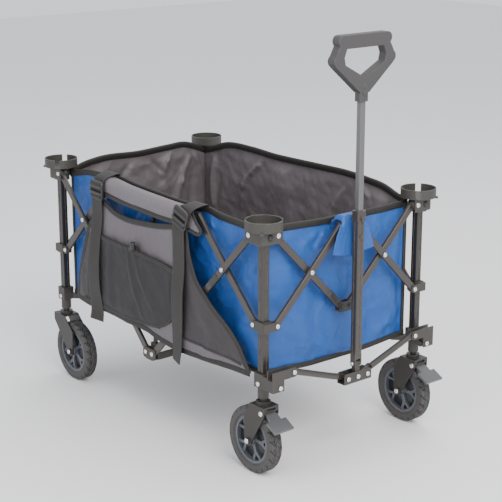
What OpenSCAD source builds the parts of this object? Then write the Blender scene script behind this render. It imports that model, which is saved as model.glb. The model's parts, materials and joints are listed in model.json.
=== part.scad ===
// Folding utility wagon with a fabric tub, scissor frame and telescoping pull handle.
// X runs along the wagon with the handle at +X, Y runs across it, Z is up from the ground.

/* [Frame] */
// Distance between front and rear posts, centre to centre
post_span_x = 900; // [700:1:1100]
// Distance between left and right posts, centre to centre
post_span_y = 520; // [400:1:640]
// Height of the upper bar pins above the ground
top_pin_z = 612; // [520:1:720]
// Angle of every scissor bar above level when the wagon is open
open_angle = 45.4; // [40:0.1:50]
// Outer width of a square post
post_w = 20; // [16:0.5:26]
// Wall of a post
post_wall = 1.6; // [1.2:0.1:2.5]
// Height of the lower end of the posts
post_foot_z = 236; // [200:1:260]

/* [Scissor bars] */
// Height of a bar's section
bar_h = 18; // [14:0.5:22]
// Thickness of a bar's section
bar_t = 9; // [7:0.5:10]
// Wall of a bar's tube
bar_wall = 1.2; // [1:0.1:2]
// Radius of the rivets that the bars turn on
pin_r = 3; // [2.5:0.1:4]
// Radial clearance of a bar on its rivet
pin_gap = 0.05; // [0.02:0.01:0.1]
// Distance from a post's centre to the bar pins beside it
pin_reach = 25; // [22:0.5:32]
// Half the distance between the two pins of an end link
link_half = 12; // [11:0.5:18]
// Half the distance between the two pins of a side hub
hub_half = 14; // [12:0.5:20]

/* [Wheels] */
// Outer radius of a tyre
wheel_r = 86; // [75:0.5:100]
// Width of a tyre
tyre_w = 34; // [28:0.5:44]
// Radius where the tyre sits on its rim
rim_r = 62; // [52:0.5:70]
// How far a front wheel trails behind its swivel
front_trail = 30; // [20:1:40]
// How far a rear wheel stands ahead of its post
rear_lead = 50; // [30:1:60]
// Radius of an axle
axle_r = 5; // [4:0.1:6]

/* [Handle] */
// Height of the bracket's rivets that hold the two front rails
handle_foot_z = 212; // [200:1:230]
// Height of the handle's tilt pin
tilt_z = 246; // [236:1:260]
// Height of the collar on the lower tube
collar_z = 616; // [560:1:680]
// Height of the lower edge of the grip
grip_z = 924; // [850:1:980]
// Overall width of the grip
grip_w = 200; // [160:1:220]
// Overall height of the grip
grip_h = 148; // [120:1:170]

/* [Tub] */
// Gap between the post centres and the outside of the fabric tub
tub_inset = 20; // [18:0.5:30]
// Height of the underside of the tub's floor
tub_floor_z = 255; // [240:1:270]
// Height of the rim of the tub
tub_rim_z = 640; // [600:1:660]
// Thickness of the tub's padded cloth
cloth_t = 3; // [2:0.5:5]

/* [Cup holders] */
// Outer radius of a cup holder
cup_r = 46; // [40:0.5:52]
// Height of a cup holder's wall
cup_h = 21; // [14:0.5:30]
// Width of the two slots for a mug's handle
cup_slot = 14; // [10:0.5:20]

/* [Hidden] */
$fn = 48;
L2 = post_span_x / 2;
W2 = post_span_y / 2;
short_len = (W2 - pin_reach - link_half) / cos(open_angle);
long_len = (L2 - pin_reach - hub_half) / cos(open_angle);
half_len = short_len / 2;
slider_z = top_pin_z - short_len * sin(open_angle);
hub_z = top_pin_z - long_len * sin(open_angle);
layer_in = 0.5 + bar_t / 2;         // centre of the inner layer of bars
layer_out = bar_t + 2 + bar_t / 2;  // centre of the outer layer of bars
face_gap = 0.1;                     // side play between a bar and a cheek
cheek_t = 3;
in_a = layer_in - bar_t / 2 - face_gap;
in_b = layer_in + bar_t / 2 + face_gap;
out_a = layer_out - bar_t / 2 - face_gap;
out_b = layer_out + bar_t / 2 + face_gap;
head_r = 6;
head_h = 2;
bore_r = pin_r + pin_gap;
rail_x = 44;                        // rails and handle foot stand this far in front of the posts
rail_r = 8;
rail_in = 52;                       // rail pin to post centre
rail_z = 272;
foot_half = 33;                     // handle foot's middle to a rail's pin
foot_z0 = 232;                      // underside of a corner foot
foot_z1 = 284;
socket_z = 204;                     // underside of a caster's socket
fork_z = 188;                       // upper face of a fork's top plate
tray_z = top_pin_z + 15;
yoke_x = 51;                        // handle tubes stand this far in front of the posts

// ---------- helpers ----------
// Puts what is drawn at the +X +Y corner into the corner with signs sx and sy.
module at_corner(sx, sy) {
  if (sx > 0 && sy > 0) children();
  if (sx > 0 && sy < 0) mirror([0, 1, 0]) children();
  if (sx < 0 && sy > 0) mirror([1, 0, 0]) children();
  if (sx < 0 && sy < 0) mirror([1, 0, 0]) mirror([0, 1, 0]) children();
}

module round_rect(w, h, r) {
  square([w - 2 * r, h], center = true);
  square([w, h - 2 * r], center = true);
  for (i = [-1, 1], j = [-1, 1]) translate([i * (w / 2 - r), j * (h / 2 - r)]) circle(r);
}

// A round rod along Y from y0 to y1.
module rod_y(r, y0, y1) { translate([0, y1, 0]) rotate([90, 0, 0]) cylinder(r = r, h = y1 - y0); }

// A round rod along X from x0 to x1.
module rod_x(r, x0, x1) { translate([x0, 0, 0]) rotate([0, 90, 0]) cylinder(r = r, h = x1 - x0); }

// A rivet along Y: shank through the cheeks from y0 to y1 with a head outside each.
module rivet_y(y0, y1) {
  rod_y(pin_r, y0 - 0.1, y1 + 0.1);
  rod_y(head_r, y0 - head_h, y0);
  rod_y(head_r, y1, y1 + head_h);
}

module rivet_x(x0, x1) {
  rod_x(pin_r, x0 - 0.1, x1 + 0.1);
  rod_x(head_r, x0 - head_h, x0);
  rod_x(head_r, x1, x1 + head_h);
}

// One piece of flat tube along +X with a round end at 0 and at len; holes lists the bore places.
module bar(len, holes) {
  clear = bar_h / 2 + 3;
  stops = concat([0], holes, [len]);
  difference() {
    union() {
      translate([bar_h / 4, 0, 0]) rotate([90, 0, 90])
        linear_extrude(len - bar_h / 2) round_rect(bar_t, bar_h, 2);
      for (x = [0, len]) translate([x, 0, 0]) rod_y(bar_h / 2, -bar_t / 2, bar_t / 2);
    }
    for (i = [0 : len(stops) - 2])
      translate([stops[i] + clear, -bar_t / 2 + bar_wall, -bar_h / 2 + bar_wall])
        cube([stops[i + 1] - stops[i] - 2 * clear, bar_t - 2 * bar_wall, bar_h - 2 * bar_wall]);
    for (x = stops) translate([x, 0, 0]) rod_y(bore_r, -bar_t, bar_t);
  }
}

// A cheek plate in the XZ plane: from the post side at x = -from to a round nose at 0.
module cheek(from, nose, y0, y1) {
  translate([-from, y0, -nose]) cube([from, y1 - y0, 2 * nose]);
  rod_y(nose, y0, y1);
}

// ---------- scissor frame ----------
module side_long(sx, sy) {
  color("DimGray") at_corner(sx, sy)
    translate([L2 - pin_reach, W2 + layer_out, top_pin_z]) rotate([0, 180 - open_angle, 0])
    union() {
      bar(long_len, [half_len]);
      translate([half_len, 0, 0]) {
        rod_y(pin_r, -layer_out - 0.5, bar_t / 2);
        rod_y(head_r - 0.4, -(layer_out - layer_in) + bar_t / 2 + face_gap, -bar_t / 2 + 0.5);
        rod_y(head_r, -layer_out + 0.4 - head_h, -layer_out + 0.4);
        rod_y(head_r, bar_t / 2, bar_t / 2 + head_h);
      }
    }
}

module side_short(sx, sy) {
  color("Gray") at_corner(sx, sy)
    translate([L2 - pin_reach, W2 + layer_in, slider_z]) rotate([0, 180 + open_angle, 0])
    bar(short_len, [half_len]);
}

module end_long(sx, sy) {
  color("DimGray") at_corner(sx, sy)
    translate([L2 + layer_in, W2 - pin_reach, top_pin_z]) rotate([0, 0, -90]) rotate([0, open_angle, 0])
    union() {
      bar(short_len, [half_len]);
      translate([half_len, 0, 0]) {
        rod_y(pin_r, -bar_t / 2, out_b - layer_in + 0.1);
        rod_y(head_r - 0.4, bar_t / 2 - 0.5, out_a - layer_in);
        rod_y(head_r, out_b - layer_in, out_b - layer_in + head_h);
      }
    }
}

module end_short(sx, sy) {
  color("Gray") at_corner(sx, sy)
    translate([L2 + layer_out, W2 - pin_reach, slider_z]) rotate([0, 0, -90]) rotate([0, -open_angle, 0])
    bar(short_len, [half_len]);
}

// The lower link joins the two long bars at an end; pins cover the inner layer.
module lower_link(sx) {
  color("Black") at_corner(sx, 1) translate([L2, 0, slider_z]) {
    difference() {
      for (x = [in_a - cheek_t, in_b]) translate([x, 0, 0]) rotate([90, 0, 90])
        linear_extrude(cheek_t) round_rect(2 * link_half + 24, 26, 6);
    }
    for (y = [-link_half, link_half]) translate([0, y, 0]) rivet_x(in_a - cheek_t, in_b + cheek_t);
    translate([in_a - 0.2, -10, -12.8]) cube([bar_t + 2 * face_gap + 0.4, 20, 2.6]);
  }
}

// The upper link joins the two short bars at an end; pins cover the outer layer.
module upper_link(sx) {
  color("DimGray") at_corner(sx, 1) translate([L2, 0, top_pin_z]) {
    for (x = [out_a - cheek_t, out_b]) translate([x, 0, 0]) rotate([90, 0, 90])
      linear_extrude(cheek_t) round_rect(2 * link_half + 22, 24, 6);
    for (y = [-link_half, link_half]) translate([0, y, 0]) rivet_x(out_a - cheek_t, out_b + cheek_t);
    translate([out_a - 0.2, -10, 9.4]) cube([bar_t + 2 * face_gap + 0.4, 20, 2.4]);
  }
}

// Side hub: a channel with the pins of both long bars, a centre tube and an inward lug.
module side_hub(sy) {
  color("DarkSlateGray") at_corner(1, sy) translate([0, W2, hub_z]) {
    for (y = [out_a - cheek_t, out_b]) translate([0, y + cheek_t, 0]) rotate([90, 0, 0])
      linear_extrude(cheek_t) union() {
        translate([0, -2]) round_rect(2 * hub_half + 26, 30, 8);
        translate([0, -14]) square([2 * hub_half, 10], center = true);
      }
    for (x = [-hub_half, hub_half]) translate([x, 0, 0]) rivet_y(out_a - cheek_t, out_b + cheek_t);
    translate([-hub_half, out_a - 0.2, -19]) cube([2 * hub_half, bar_t + 2 * face_gap + 0.4, 3]);
    // socket and centre tube behind the bars
    difference() {
      translate([-11, -5.5, -19]) cube([22, 5.5 + out_a - cheek_t + 0.5, 44]);
      translate([0, 0.4, -15]) cylinder(r = 6, h = 50);
    }
    difference() {
      translate([0, 0.4, -15]) cylinder(r = 6, h = 395);
      translate([0, 0.4, -12]) cylinder(r = 4.8, h = 400);
    }
    // lug that reaches in under the tub
    difference() {
      union() {
        translate([8, -52, -22]) cube([4, 52, 20]);
        translate([8, -52, -12]) rod_x(10, 0, 4);
      }
      translate([0, -54, -12]) rod_x(bore_r, 0, 20);
    }
    translate([8, -54, -12]) rod_x(pin_r - 0.05, -1.5, 5.5);
    translate([12, -54, -12]) rod_x(head_r, 0, head_h);
    translate([8, -54, -12]) rod_x(head_r, -head_h, 0);
  }
}

// ---------- corners ----------
module post(sx, sy) {
  color("Gray") at_corner(sx, sy) translate([L2, W2, post_foot_z])
    linear_extrude(tray_z - 6 - post_foot_z) difference() {
      round_rect(post_w, post_w, 2);
      square(post_w - 2 * post_wall - 1.6, center = true);
      for (a = [0 : 90 : 270]) rotate(a) translate([post_w / 2, 0]) square([1.6, 4.5], center = true);
    }
}

module cup_bracket(sx, sy) {
  color("DarkGray") at_corner(sx, sy) translate([L2, W2, 0]) difference() {
    union() {
      translate([-16, -16, top_pin_z - 24]) cube([32, 32, tray_z - top_pin_z + 25]);
      // arm over the front bars
      translate([0, -pin_reach, top_pin_z]) rotate([0, 0, -90]) {
        cheek(28, 12, in_a - cheek_t, in_a);
        cheek(40, 13, in_b, 22);
      }
      translate([0, -pin_reach, top_pin_z]) rivet_x(in_a - cheek_t, 22);
      // arm over the side bars
      translate([-pin_reach, 0, top_pin_z]) mirror([1, 0, 0]) {
        cheek(28, 12, out_a - 7, out_a);
        cheek(40, 13, out_b, 24);
      }
      translate([-pin_reach, 0, top_pin_z]) rivet_y(out_a - 7, 24);
      // corner between the arms
      translate([9.6, 9.6, top_pin_z - 13]) cube([12.4, 14.4, 28]);
      // tray
      translate([0, 0, tray_z]) cylinder(r = cup_r, h = 3, $fn = 72);
      translate([0, 0, tray_z - 6]) cylinder(r1 = 24, r2 = cup_r - 4, h = 6.5, $fn = 72);
      translate([0, 0, tray_z]) difference() {
        cylinder(r = cup_r, h = cup_h + 3, $fn = 72);
        translate([0, 0, 3]) cylinder(r = cup_r - 3, h = cup_h + 3, $fn = 72);
        rotate([0, 0, -45]) translate([-cup_r - 5, -cup_slot / 2, 3]) cube([2 * cup_r + 10, cup_slot, cup_h + 3]);
      }
      // small hook on the outside
      rotate([0, 0, 45]) translate([cup_r - 8, -4, tray_z - 4]) cube([13, 8, 5]);
    }
    // seat of the post
    translate([-post_w / 2 - 0.05, -post_w / 2 - 0.05, top_pin_z - 30])
      cube([post_w + 0.1, post_w + 0.1, tray_z - 6 + 0.1 - top_pin_z + 30]);
    // room for the bars to swing under the arms
    translate([in_a, -60, top_pin_z - 30]) cube([bar_t + 2 * face_gap, 60 - 16, 41]);
    translate([-60, out_a, top_pin_z - 30]) cube([60 - 16, bar_t + 2 * face_gap, 41]);
    // recess for the release button
    translate([20.6, -2.5, top_pin_z - 8]) cube([3, 9, 16]);
  }
  color("DarkGray") at_corner(sx, sy) translate([L2, W2, 0]) {
    translate([0, -pin_reach, top_pin_z]) rod_x(pin_r, in_a - 0.2, in_b + 0.2);
    translate([-pin_reach, 0, top_pin_z]) rod_y(pin_r, out_a - 0.2, out_b + 0.2);
  }
}

module slider(sx, sy) {
  color("DarkGray") at_corner(sx, sy) translate([L2, W2, slider_z]) {
    difference() {
      union() {
        translate([-15, -15, -13]) cube([30, 30, 26]);
        translate([0, -pin_reach, 0]) rotate([0, 0, -90]) {
          cheek(28, 11, out_a - cheek_t, out_a);
          cheek(40, 11, out_b, out_b + cheek_t);
        }
        translate([-pin_reach, 0, 0]) mirror([1, 0, 0]) {
          cheek(28, 11, in_a - cheek_t, in_a);
          cheek(28, 11, in_b, in_b + cheek_t);
        }
        translate([12, -10, -11]) cube([out_b + cheek_t - 12, 25, 22]);
      }
      translate([-post_w / 2 - 0.05, -post_w / 2 - 0.05, -30]) cube([post_w + 0.1, post_w + 0.1, 60]);
      translate([out_a, -60, -20]) cube([bar_t + 2 * face_gap, 60 - 15.5, 40]);
      translate([-60, in_a, -20]) cube([60 - 15.5, bar_t + 2 * face_gap, 40]);
    }
    translate([0, -pin_reach, 0]) rivet_x(out_a - cheek_t, out_b + cheek_t);
    translate([-pin_reach, 0, 0]) rivet_y(in_a - cheek_t, in_b + cheek_t);
  }
}

// Foot: a block round the post's end with the caster socket; a front one also holds a rail.
module corner_foot(sx, sy) {
  color("SlateGray") at_corner(sx, sy) translate([L2, W2, 0]) difference() {
    union() {
      translate([-16, -16, foot_z0]) cube([32, 32, foot_z1 - foot_z0 - 16]);
      translate([0, 0, socket_z]) cylinder(r = 14, h = foot_z0 - socket_z + 1);
      // lug that reaches in under the tub
      rotate([0, 0, 225]) {
        translate([10, -2, foot_z0]) cube([46, 4, 18]);
        translate([56, 0, foot_z0 + 9]) rod_y(9, -2, 2);
        translate([56, 0, foot_z0 + 9]) rivet_y(-2, 2);
      }
      translate([0, 12, foot_z0 + 10]) rod_y(head_r, 0, 6);
      if (sx > 0) {
        translate([12, -16, foot_z0]) cube([rail_x - rail_r - 0.1 - 12, 32, 34]);
        for (x = [rail_x - rail_r - 3.1, rail_x + rail_r + 0.1])
          translate([x, 0, 0]) difference() {
            union() {
              translate([0, -rail_in, rail_z - 12]) cube([3, rail_in + 16, 24]);
              translate([0, -rail_in, rail_z]) rod_x(12, 0, 3);
              translate([0, -20, foot_z0]) cube([3, 36, 30]);
            }
          }
        translate([rail_x - rail_r - 3.1, -14, foot_z0]) cube([2 * rail_r + 6.2, 30, 30]);
        translate([0, -rail_in, rail_z]) rivet_x(rail_x - rail_r - 3.1, rail_x + rail_r + 3.1);
        translate([rail_x, -8, foot_z0 + 9]) rod_x(head_r, 0, rail_r + 5.1);
        translate([rail_x - 4, -10, foot_z0 + 6]) rod_y(8, -8, 0);
      }
    }
    translate([-post_w / 2 - 0.05, -post_w / 2 - 0.05, post_foot_z]) cube([post_w + 0.1, post_w + 0.1, 80]);
    translate([0, 0, socket_z - 1]) cylinder(r = 8.05, h = post_foot_z - socket_z - 1);
  }
}

// ---------- casters ----------
// Fork legs from the stem down to an axle that is dx away; wide plates follow one straight line.
module fork_body(dx) {
  lean = atan2(dx, fork_z - wheel_r);
  for (s = [-1, 1]) translate([0, s * (tyre_w / 2 + 5.5), 0]) rotate([90, 0, 0]) translate([0, 0, -1.5])
    linear_extrude(3) union() {
      polygon([[-24, fork_z], [30, fork_z], [30, fork_z - 22], [dx + 13, wheel_r], [dx - 13, wheel_r],
        [min(-24, dx - 16), fork_z - 40]]);
      translate([dx, wheel_r]) circle(13);
    }
  translate([-24, -tyre_w / 2 - 7, fork_z - 4]) cube([54, tyre_w + 14, 4]);
  translate([27, -tyre_w / 2 - 7, fork_z - 14]) difference() {
    cube([3, tyre_w + 14, 14]);
    translate([-1, 10, 3]) cube([5, tyre_w - 6, 6]);
  }
  translate([dx, 0, wheel_r]) {
    rod_y(axle_r, -tyre_w / 2 - 7, tyre_w / 2 + 7);
    rod_y(8, tyre_w / 2 + 7, tyre_w / 2 + 12);
    rod_y(8, -tyre_w / 2 - 12, -tyre_w / 2 - 7);
  }
}

module fork_front(sy) {
  color("SlateGray") at_corner(1, sy) translate([L2, W2, 0]) {
    fork_body(-front_trail);
    translate([0, 0, fork_z - 1]) cylinder(r = 18, h = 9);
    translate([0, 0, fork_z]) cylinder(r = 8, h = post_foot_z - fork_z - 4);
    for (s = [-1, 1]) translate([20, 0, 172]) rod_y(6, s * (tyre_w / 2 + 7) - 1.5, s * (tyre_w / 2 + 7) + 1.5);
    translate([20, 0, 172]) rod_y(3, -tyre_w / 2 - 7, tyre_w / 2 + 7);
  }
}

module fork_rear(sy) {
  color("SlateGray") at_corner(-1, sy) translate([L2, W2, 0]) {
    fork_body(-rear_lead);
    translate([0, 0, fork_z - 1]) cylinder(r = 18, h = 9);
    translate([0, 0, fork_z]) cylinder(r = 8, h = post_foot_z - fork_z - 4);
  }
}

// Wheel drawn round the Y axis at its own centre.
module rim_shape() {
  rotate([90, 0, 0]) difference() {
    union() {
      rotate_extrude($fn = 96) polygon([[rim_r - 7, -tyre_w / 2 + 3], [rim_r - 0.05, -tyre_w / 2 + 3],
        [rim_r - 0.05, tyre_w / 2 - 3], [rim_r - 7, tyre_w / 2 - 3], [rim_r - 9, 0]]);
      translate([0, 0, -tyre_w / 2 - 1]) cylinder(r = 14, h = tyre_w + 2);
      for (a = [0 : 72 : 288]) rotate(a) {
        translate([10, -4, -9]) cube([26, 8, 18]);
        for (b = [-1, 1]) translate([33, 0, 0]) rotate(b * 34) translate([-2, -3.5, -9]) cube([30, 7, 18]);
      }
    }
    translate([0, 0, -tyre_w]) cylinder(r = axle_r + 0.05, h = 2 * tyre_w);
  }
}

module tyre_shape() {
  shoulder = 7;
  rotate([90, 0, 0]) difference() {
    rotate_extrude($fn = 96) union() {
      translate([rim_r, -tyre_w / 2 + 2]) square([wheel_r - shoulder - rim_r, tyre_w - 4]);
      translate([rim_r + 4, -tyre_w / 2]) square([wheel_r - shoulder - rim_r - 4, tyre_w]);
      translate([wheel_r - shoulder - 0.1, -tyre_w / 2 + shoulder]) square([shoulder + 0.1, tyre_w - 2 * shoulder]);
      for (s = [-1, 1]) translate([wheel_r - shoulder, s * (tyre_w / 2 - shoulder)]) circle(shoulder);
    }
    for (a = [0 : 15 : 345], s = [-1, 1]) rotate(a + s * 3.75)
      translate([wheel_r - 4, s * (tyre_w / 2 - 3) - 5, 0]) rotate([0, 0, 0])
      translate([0, s * 4 + 3, s * (tyre_w / 2 - 4) - 4]) cube([8, 5, 8]);
  }
}

module wheel_at(sx, sy) {
  at_corner(sx, sy) translate([L2 - (sx > 0 ? front_trail : rear_lead), W2, wheel_r]) children();
}

module brake_pedal(sy) {
  color("Silver") at_corner(1, sy) translate([L2 + 20, W2, 172]) difference() {
    union() {
      rod_y(6, -tyre_w / 2 - 3, tyre_w / 2 + 3);
      rotate([0, 28, 0]) translate([0, -tyre_w / 2 + 1, -2.5]) cube([34, tyre_w - 2, 5]);
      rotate([0, 28, 0]) translate([32, -30, -3]) cube([36, 60, 6]);
      rotate([0, 28, 0]) translate([12, -12, -12]) cube([12, 24, 11]);
    }
    rod_y(3.05, -40, 40);
  }
}

// ---------- front rails and handle ----------
rail_run = W2 - rail_in - foot_half;
rail_drop = rail_z - handle_foot_z;
rail_len = sqrt(rail_run * rail_run + rail_drop * rail_drop);
rail_angle = atan2(rail_drop, rail_run);

module front_rail(sy) {
  color("Gray") at_corner(1, sy) translate([L2 + rail_x, W2 - rail_in, rail_z])
    rotate([0, 0, -90]) rotate([0, rail_angle, 0]) difference() {
      union() {
        rod_x(rail_r, 0, rail_len - 26);
        rod_y(rail_r, -rail_r, rail_r);
        translate([rail_len - 28, -rail_r + 0.2, -rail_r + 0.4]) cube([28, 6.6, 2 * rail_r - 0.8]);
        translate([rail_len, 0, 0]) rod_y(rail_r, -rail_r, -rail_r + 6.8);
      }
      rod_x(rail_r - 1.5, 14, rail_len - 34);
      rod_y(bore_r, -20, 20);
      translate([rail_len, 0, 0]) rod_y(bore_r, -20, 20);
    }
}

// Channel on the rails' lower ends with the yoke that the handle tilts on.
module handle_foot() {
  x0 = L2 + rail_x - rail_r - 0.2;
  color("DarkSlateGray") translate([0, 0, handle_foot_z]) {
    for (x = [x0 - 2.5, L2 + 58]) translate([x, 0, 0]) rotate([90, 0, 90])
      linear_extrude(2.5) union() {
        round_rect(2 * foot_half + 26, 28, 6);
        translate([0, -7]) square([2 * foot_half + 26, 14], center = true);
      }
    translate([x0 - 1, -foot_half - 13, -14]) cube([L2 + 59 - x0 + 1, 2 * foot_half + 26, 2.5]);
    // left rail turns on a whole rivet
    translate([0, -foot_half, 0]) rivet_x(x0 - 2.5, L2 + 60.5);
    // right rivet shows its two heads only
    for (x = [x0 - 2.5 - head_h, L2 + 60.5]) translate([0, foot_half, 0]) rod_x(head_r, x, x + head_h);
    // yoke
    translate([L2 + 45, -8, -12]) cube([13.2, 16, 30]);
    translate([L2 + 60, 0, 0]) rod_x(head_r, 0, head_h + 0.5);
    difference() {
      union() {
        translate([L2 + 45, -8, 10]) cube([12, 16, tilt_z - handle_foot_z - 10]);
        translate([L2 + yoke_x, 0, tilt_z - handle_foot_z]) rod_y(8, -8, 8);
      }
      translate([L2 + yoke_x, 0, tilt_z - handle_foot_z]) rod_y(4.05, -20, 20);
    }
  }
}

module handle_lower_tube() {
  color("DimGray") translate([L2 + yoke_x, 0, 0]) {
    // forked end and its pin
    for (s = [-1, 1]) {
      translate([0, 0, tilt_z]) rod_y(9, s * 9.6 - 1.4, s * 9.6 + 1.4);
      translate([-9, s * 9.6 - 1.4, tilt_z]) cube([18, 2.8, 24]);
      translate([0, 0, tilt_z]) rod_y(6, s * 12.5 - 1.6, s * 12.5 + 1.6);
    }
    translate([0, 0, tilt_z]) rod_y(4, -11, 11);
    difference() {
      translate([0, 0, tilt_z + 12]) linear_extrude(collar_z - tilt_z - 12) difference() {
        round_rect(20, 22, 3);
        for (s = [-1, 1]) translate([0, s * 11]) square([5, 2], center = true);
        translate([10, 0]) square([2, 6], center = true);
      }
      translate([0, 0, tilt_z + 18]) linear_extrude(500) round_rect(15.1, 16.1, 2);
    }
    // collar with the lock
    difference() {
      union() {
        translate([0, 0, collar_z - 1]) linear_extrude(26) round_rect(25, 27, 5);
        translate([0, 0, collar_z + 6]) rod_x(6, 8, 17);
      }
      translate([0, 0, collar_z - 10]) linear_extrude(50) round_rect(15.1, 16.1, 2);
    }
    // catch on the front face below the collar
    translate([8, 0, collar_z - 40]) rod_x(5, 0, 5);
  }
}

module handle_upper_tube() {
  color("DarkGray") translate([L2 + yoke_x, 0, collar_z - 60])
    linear_extrude(grip_z + 8 - collar_z + 60) difference() {
      round_rect(15, 16, 2);
      round_rect(12, 13, 1.5);
    }
}

// Closed pentagon grip with a rounded bar section.
module handle_grip() {
  w = grip_w / 2;
  h = grip_h;
  color("DarkGray") translate([L2 + yoke_x, 0, grip_z]) {
    rotate([90, 0, 90]) translate([0, 0, -12]) linear_extrude(24) difference() {
      union() {
        polygon([[-14, 8], [14, 8], [w - 8, 74], [w - 4, 96], [w * 0.72, h - 8], [-w * 0.72, h - 8],
          [-w + 4, 96], [-w + 8, 74]]);
        translate([-w * 0.72, h - 30]) square([w * 1.44, 30]);
        for (s = [-1, 1]) {
          translate([s * (w - 14), 88]) circle(14);
          translate([s * w * 0.72, h - 14]) circle(14);
        }
      }
      polygon([[0, 44], [w - 36, 78], [w - 32, 96], [w * 0.6, h - 32], [-w * 0.6, h - 32],
        [-w + 32, 96], [-w + 36, 78]]);
    }
    difference() {
      translate([0, 0, -14]) linear_extrude(40) round_rect(22, 28, 5);
      translate([0, 0, -20]) linear_extrude(28.1) round_rect(15.05, 16.05, 2);
    }
    for (z = [6, 22]) translate([0, 0, z]) rod_x(5, 10, 13.5);
  }
}

// ---------- cloth ----------
tx = L2 - tub_inset;
ty = W2 - tub_inset;

module fabric_tub() {
  color("RoyalBlue") difference() {
    translate([-tx, -ty, tub_floor_z]) cube([2 * tx, 2 * ty, tub_rim_z - tub_floor_z]);
    translate([-tx + cloth_t, -ty + cloth_t, tub_floor_z + cloth_t])
      cube([2 * (tx - cloth_t), 2 * (ty - cloth_t), tub_rim_z]);
    for (i = [-1, 1], j = [-1, 1]) translate([i * L2, j * W2, tray_z - 8]) cylinder(r = cup_r + 3, h = 90);
  }
}

module pocket_panel() {
  color("SlateGray") translate([0, -W2 - layer_out - bar_t / 2 - 7, 0]) {
    rotate([90, 0, 0]) linear_extrude(4)
      polygon([[-205, 628], [-225, 560], [-284, 459], [-309, 391], [-348, 280], [-345, 265], [-100, 262],
        [405, 254], [235, 440], [200, 600], [170, 612], [0, 622]]);
    // pouch, open along its upper edge
    translate([0, -3.9, 0]) rotate([90, 0, 0]) difference() {
      linear_extrude(11) pouch_outline();
      translate([0, 0, 0.9]) linear_extrude(7.6) intersection() {
        translate([-250, 292]) square([420, 300]);
        polygon([[-250, 600], [-244, 296], [-98, 286], [56, 298], [164, 350], [164, 600]]);
      }
    }
  }
}

module pouch_outline() {
  polygon([[-262, 480], [-246, 290], [-100, 274], [60, 286], [172, 340], [174, 480]]);
}

// ---------- one module for each node ----------
module side_hub_left() { side_hub(-1); }
module side_hub_right() { side_hub(1); }
module side_long_bar_left_front() { side_long(1, -1); }
module side_long_bar_left_rear() { side_long(-1, -1); }
module side_long_bar_right_front() { side_long(1, 1); }
module side_long_bar_right_rear() { side_long(-1, 1); }
module side_short_bar_left_front() { side_short(1, -1); }
module side_short_bar_left_rear() { side_short(-1, -1); }
module side_short_bar_right_front() { side_short(1, 1); }
module side_short_bar_right_rear() { side_short(-1, 1); }
module front_long_bar_left() { end_long(1, -1); }
module front_long_bar_right() { end_long(1, 1); }
module front_short_bar_left() { end_short(1, -1); }
module front_short_bar_right() { end_short(1, 1); }
module rear_long_bar_left() { end_long(-1, -1); }
module rear_long_bar_right() { end_long(-1, 1); }
module rear_short_bar_left() { end_short(-1, -1); }
module rear_short_bar_right() { end_short(-1, 1); }
module front_lower_link() { lower_link(1); }
module front_upper_link() { upper_link(1); }
module rear_lower_link() { lower_link(-1); }
module rear_upper_link() { upper_link(-1); }
module post_left_front() { post(1, -1); }
module post_left_rear() { post(-1, -1); }
module post_right_front() { post(1, 1); }
module post_right_rear() { post(-1, 1); }
module cup_bracket_left_front() { cup_bracket(1, -1); }
module cup_bracket_left_rear() { cup_bracket(-1, -1); }
module cup_bracket_right_front() { cup_bracket(1, 1); }
module cup_bracket_right_rear() { cup_bracket(-1, 1); }
module slider_left_front() { slider(1, -1); }
module slider_left_rear() { slider(-1, -1); }
module slider_right_front() { slider(1, 1); }
module slider_right_rear() { slider(-1, 1); }
module corner_foot_left_front() { corner_foot(1, -1); }
module corner_foot_left_rear() { corner_foot(-1, -1); }
module corner_foot_right_front() { corner_foot(1, 1); }
module corner_foot_right_rear() { corner_foot(-1, 1); }
module fork_left_front() { fork_front(-1); }
module fork_right_front() { fork_front(1); }
module fork_left_rear() { fork_rear(-1); }
module fork_right_rear() { fork_rear(1); }
module rim_left_front() { color("LightSlateGray") wheel_at(1, -1) rim_shape(); }
module rim_right_front() { color("LightSlateGray") wheel_at(1, 1) rim_shape(); }
module rim_left_rear() { color("LightSlateGray") wheel_at(-1, -1) rim_shape(); }
module rim_right_rear() { color("LightSlateGray") wheel_at(-1, 1) rim_shape(); }
module tyre_left_front() { color("Black") wheel_at(1, -1) tyre_shape(); }
module tyre_right_front() { color("Black") wheel_at(1, 1) tyre_shape(); }
module tyre_left_rear() { color("Black") wheel_at(-1, -1) tyre_shape(); }
module tyre_right_rear() { color("Black") wheel_at(-1, 1) tyre_shape(); }
module brake_pedal_left() { brake_pedal(-1); }
module brake_pedal_right() { brake_pedal(1); }
module front_rail_left() { front_rail(-1); }
module front_rail_right() { front_rail(1); }

// ---------- drawing ----------
side_hub_left();
side_hub_right();
side_long_bar_left_front();
side_long_bar_left_rear();
side_long_bar_right_front();
side_long_bar_right_rear();
side_short_bar_left_front();
side_short_bar_left_rear();
side_short_bar_right_front();
side_short_bar_right_rear();
front_long_bar_left();
front_long_bar_right();
front_short_bar_left();
front_short_bar_right();
rear_long_bar_left();
rear_long_bar_right();
rear_short_bar_left();
rear_short_bar_right();
front_lower_link();
front_upper_link();
rear_lower_link();
rear_upper_link();
post_left_front();
post_left_rear();
post_right_front();
post_right_rear();
cup_bracket_left_front();
cup_bracket_left_rear();
cup_bracket_right_front();
cup_bracket_right_rear();
slider_left_front();
slider_left_rear();
slider_right_front();
slider_right_rear();
corner_foot_left_front();
corner_foot_left_rear();
corner_foot_right_front();
corner_foot_right_rear();
fork_left_front();
fork_right_front();
fork_left_rear();
fork_right_rear();
rim_left_front();
rim_right_front();
rim_left_rear();
rim_right_rear();
tyre_left_front();
tyre_right_front();
tyre_left_rear();
tyre_right_rear();
brake_pedal_left();
brake_pedal_right();
front_rail_left();
front_rail_right();
handle_foot();
handle_lower_tube();
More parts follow.
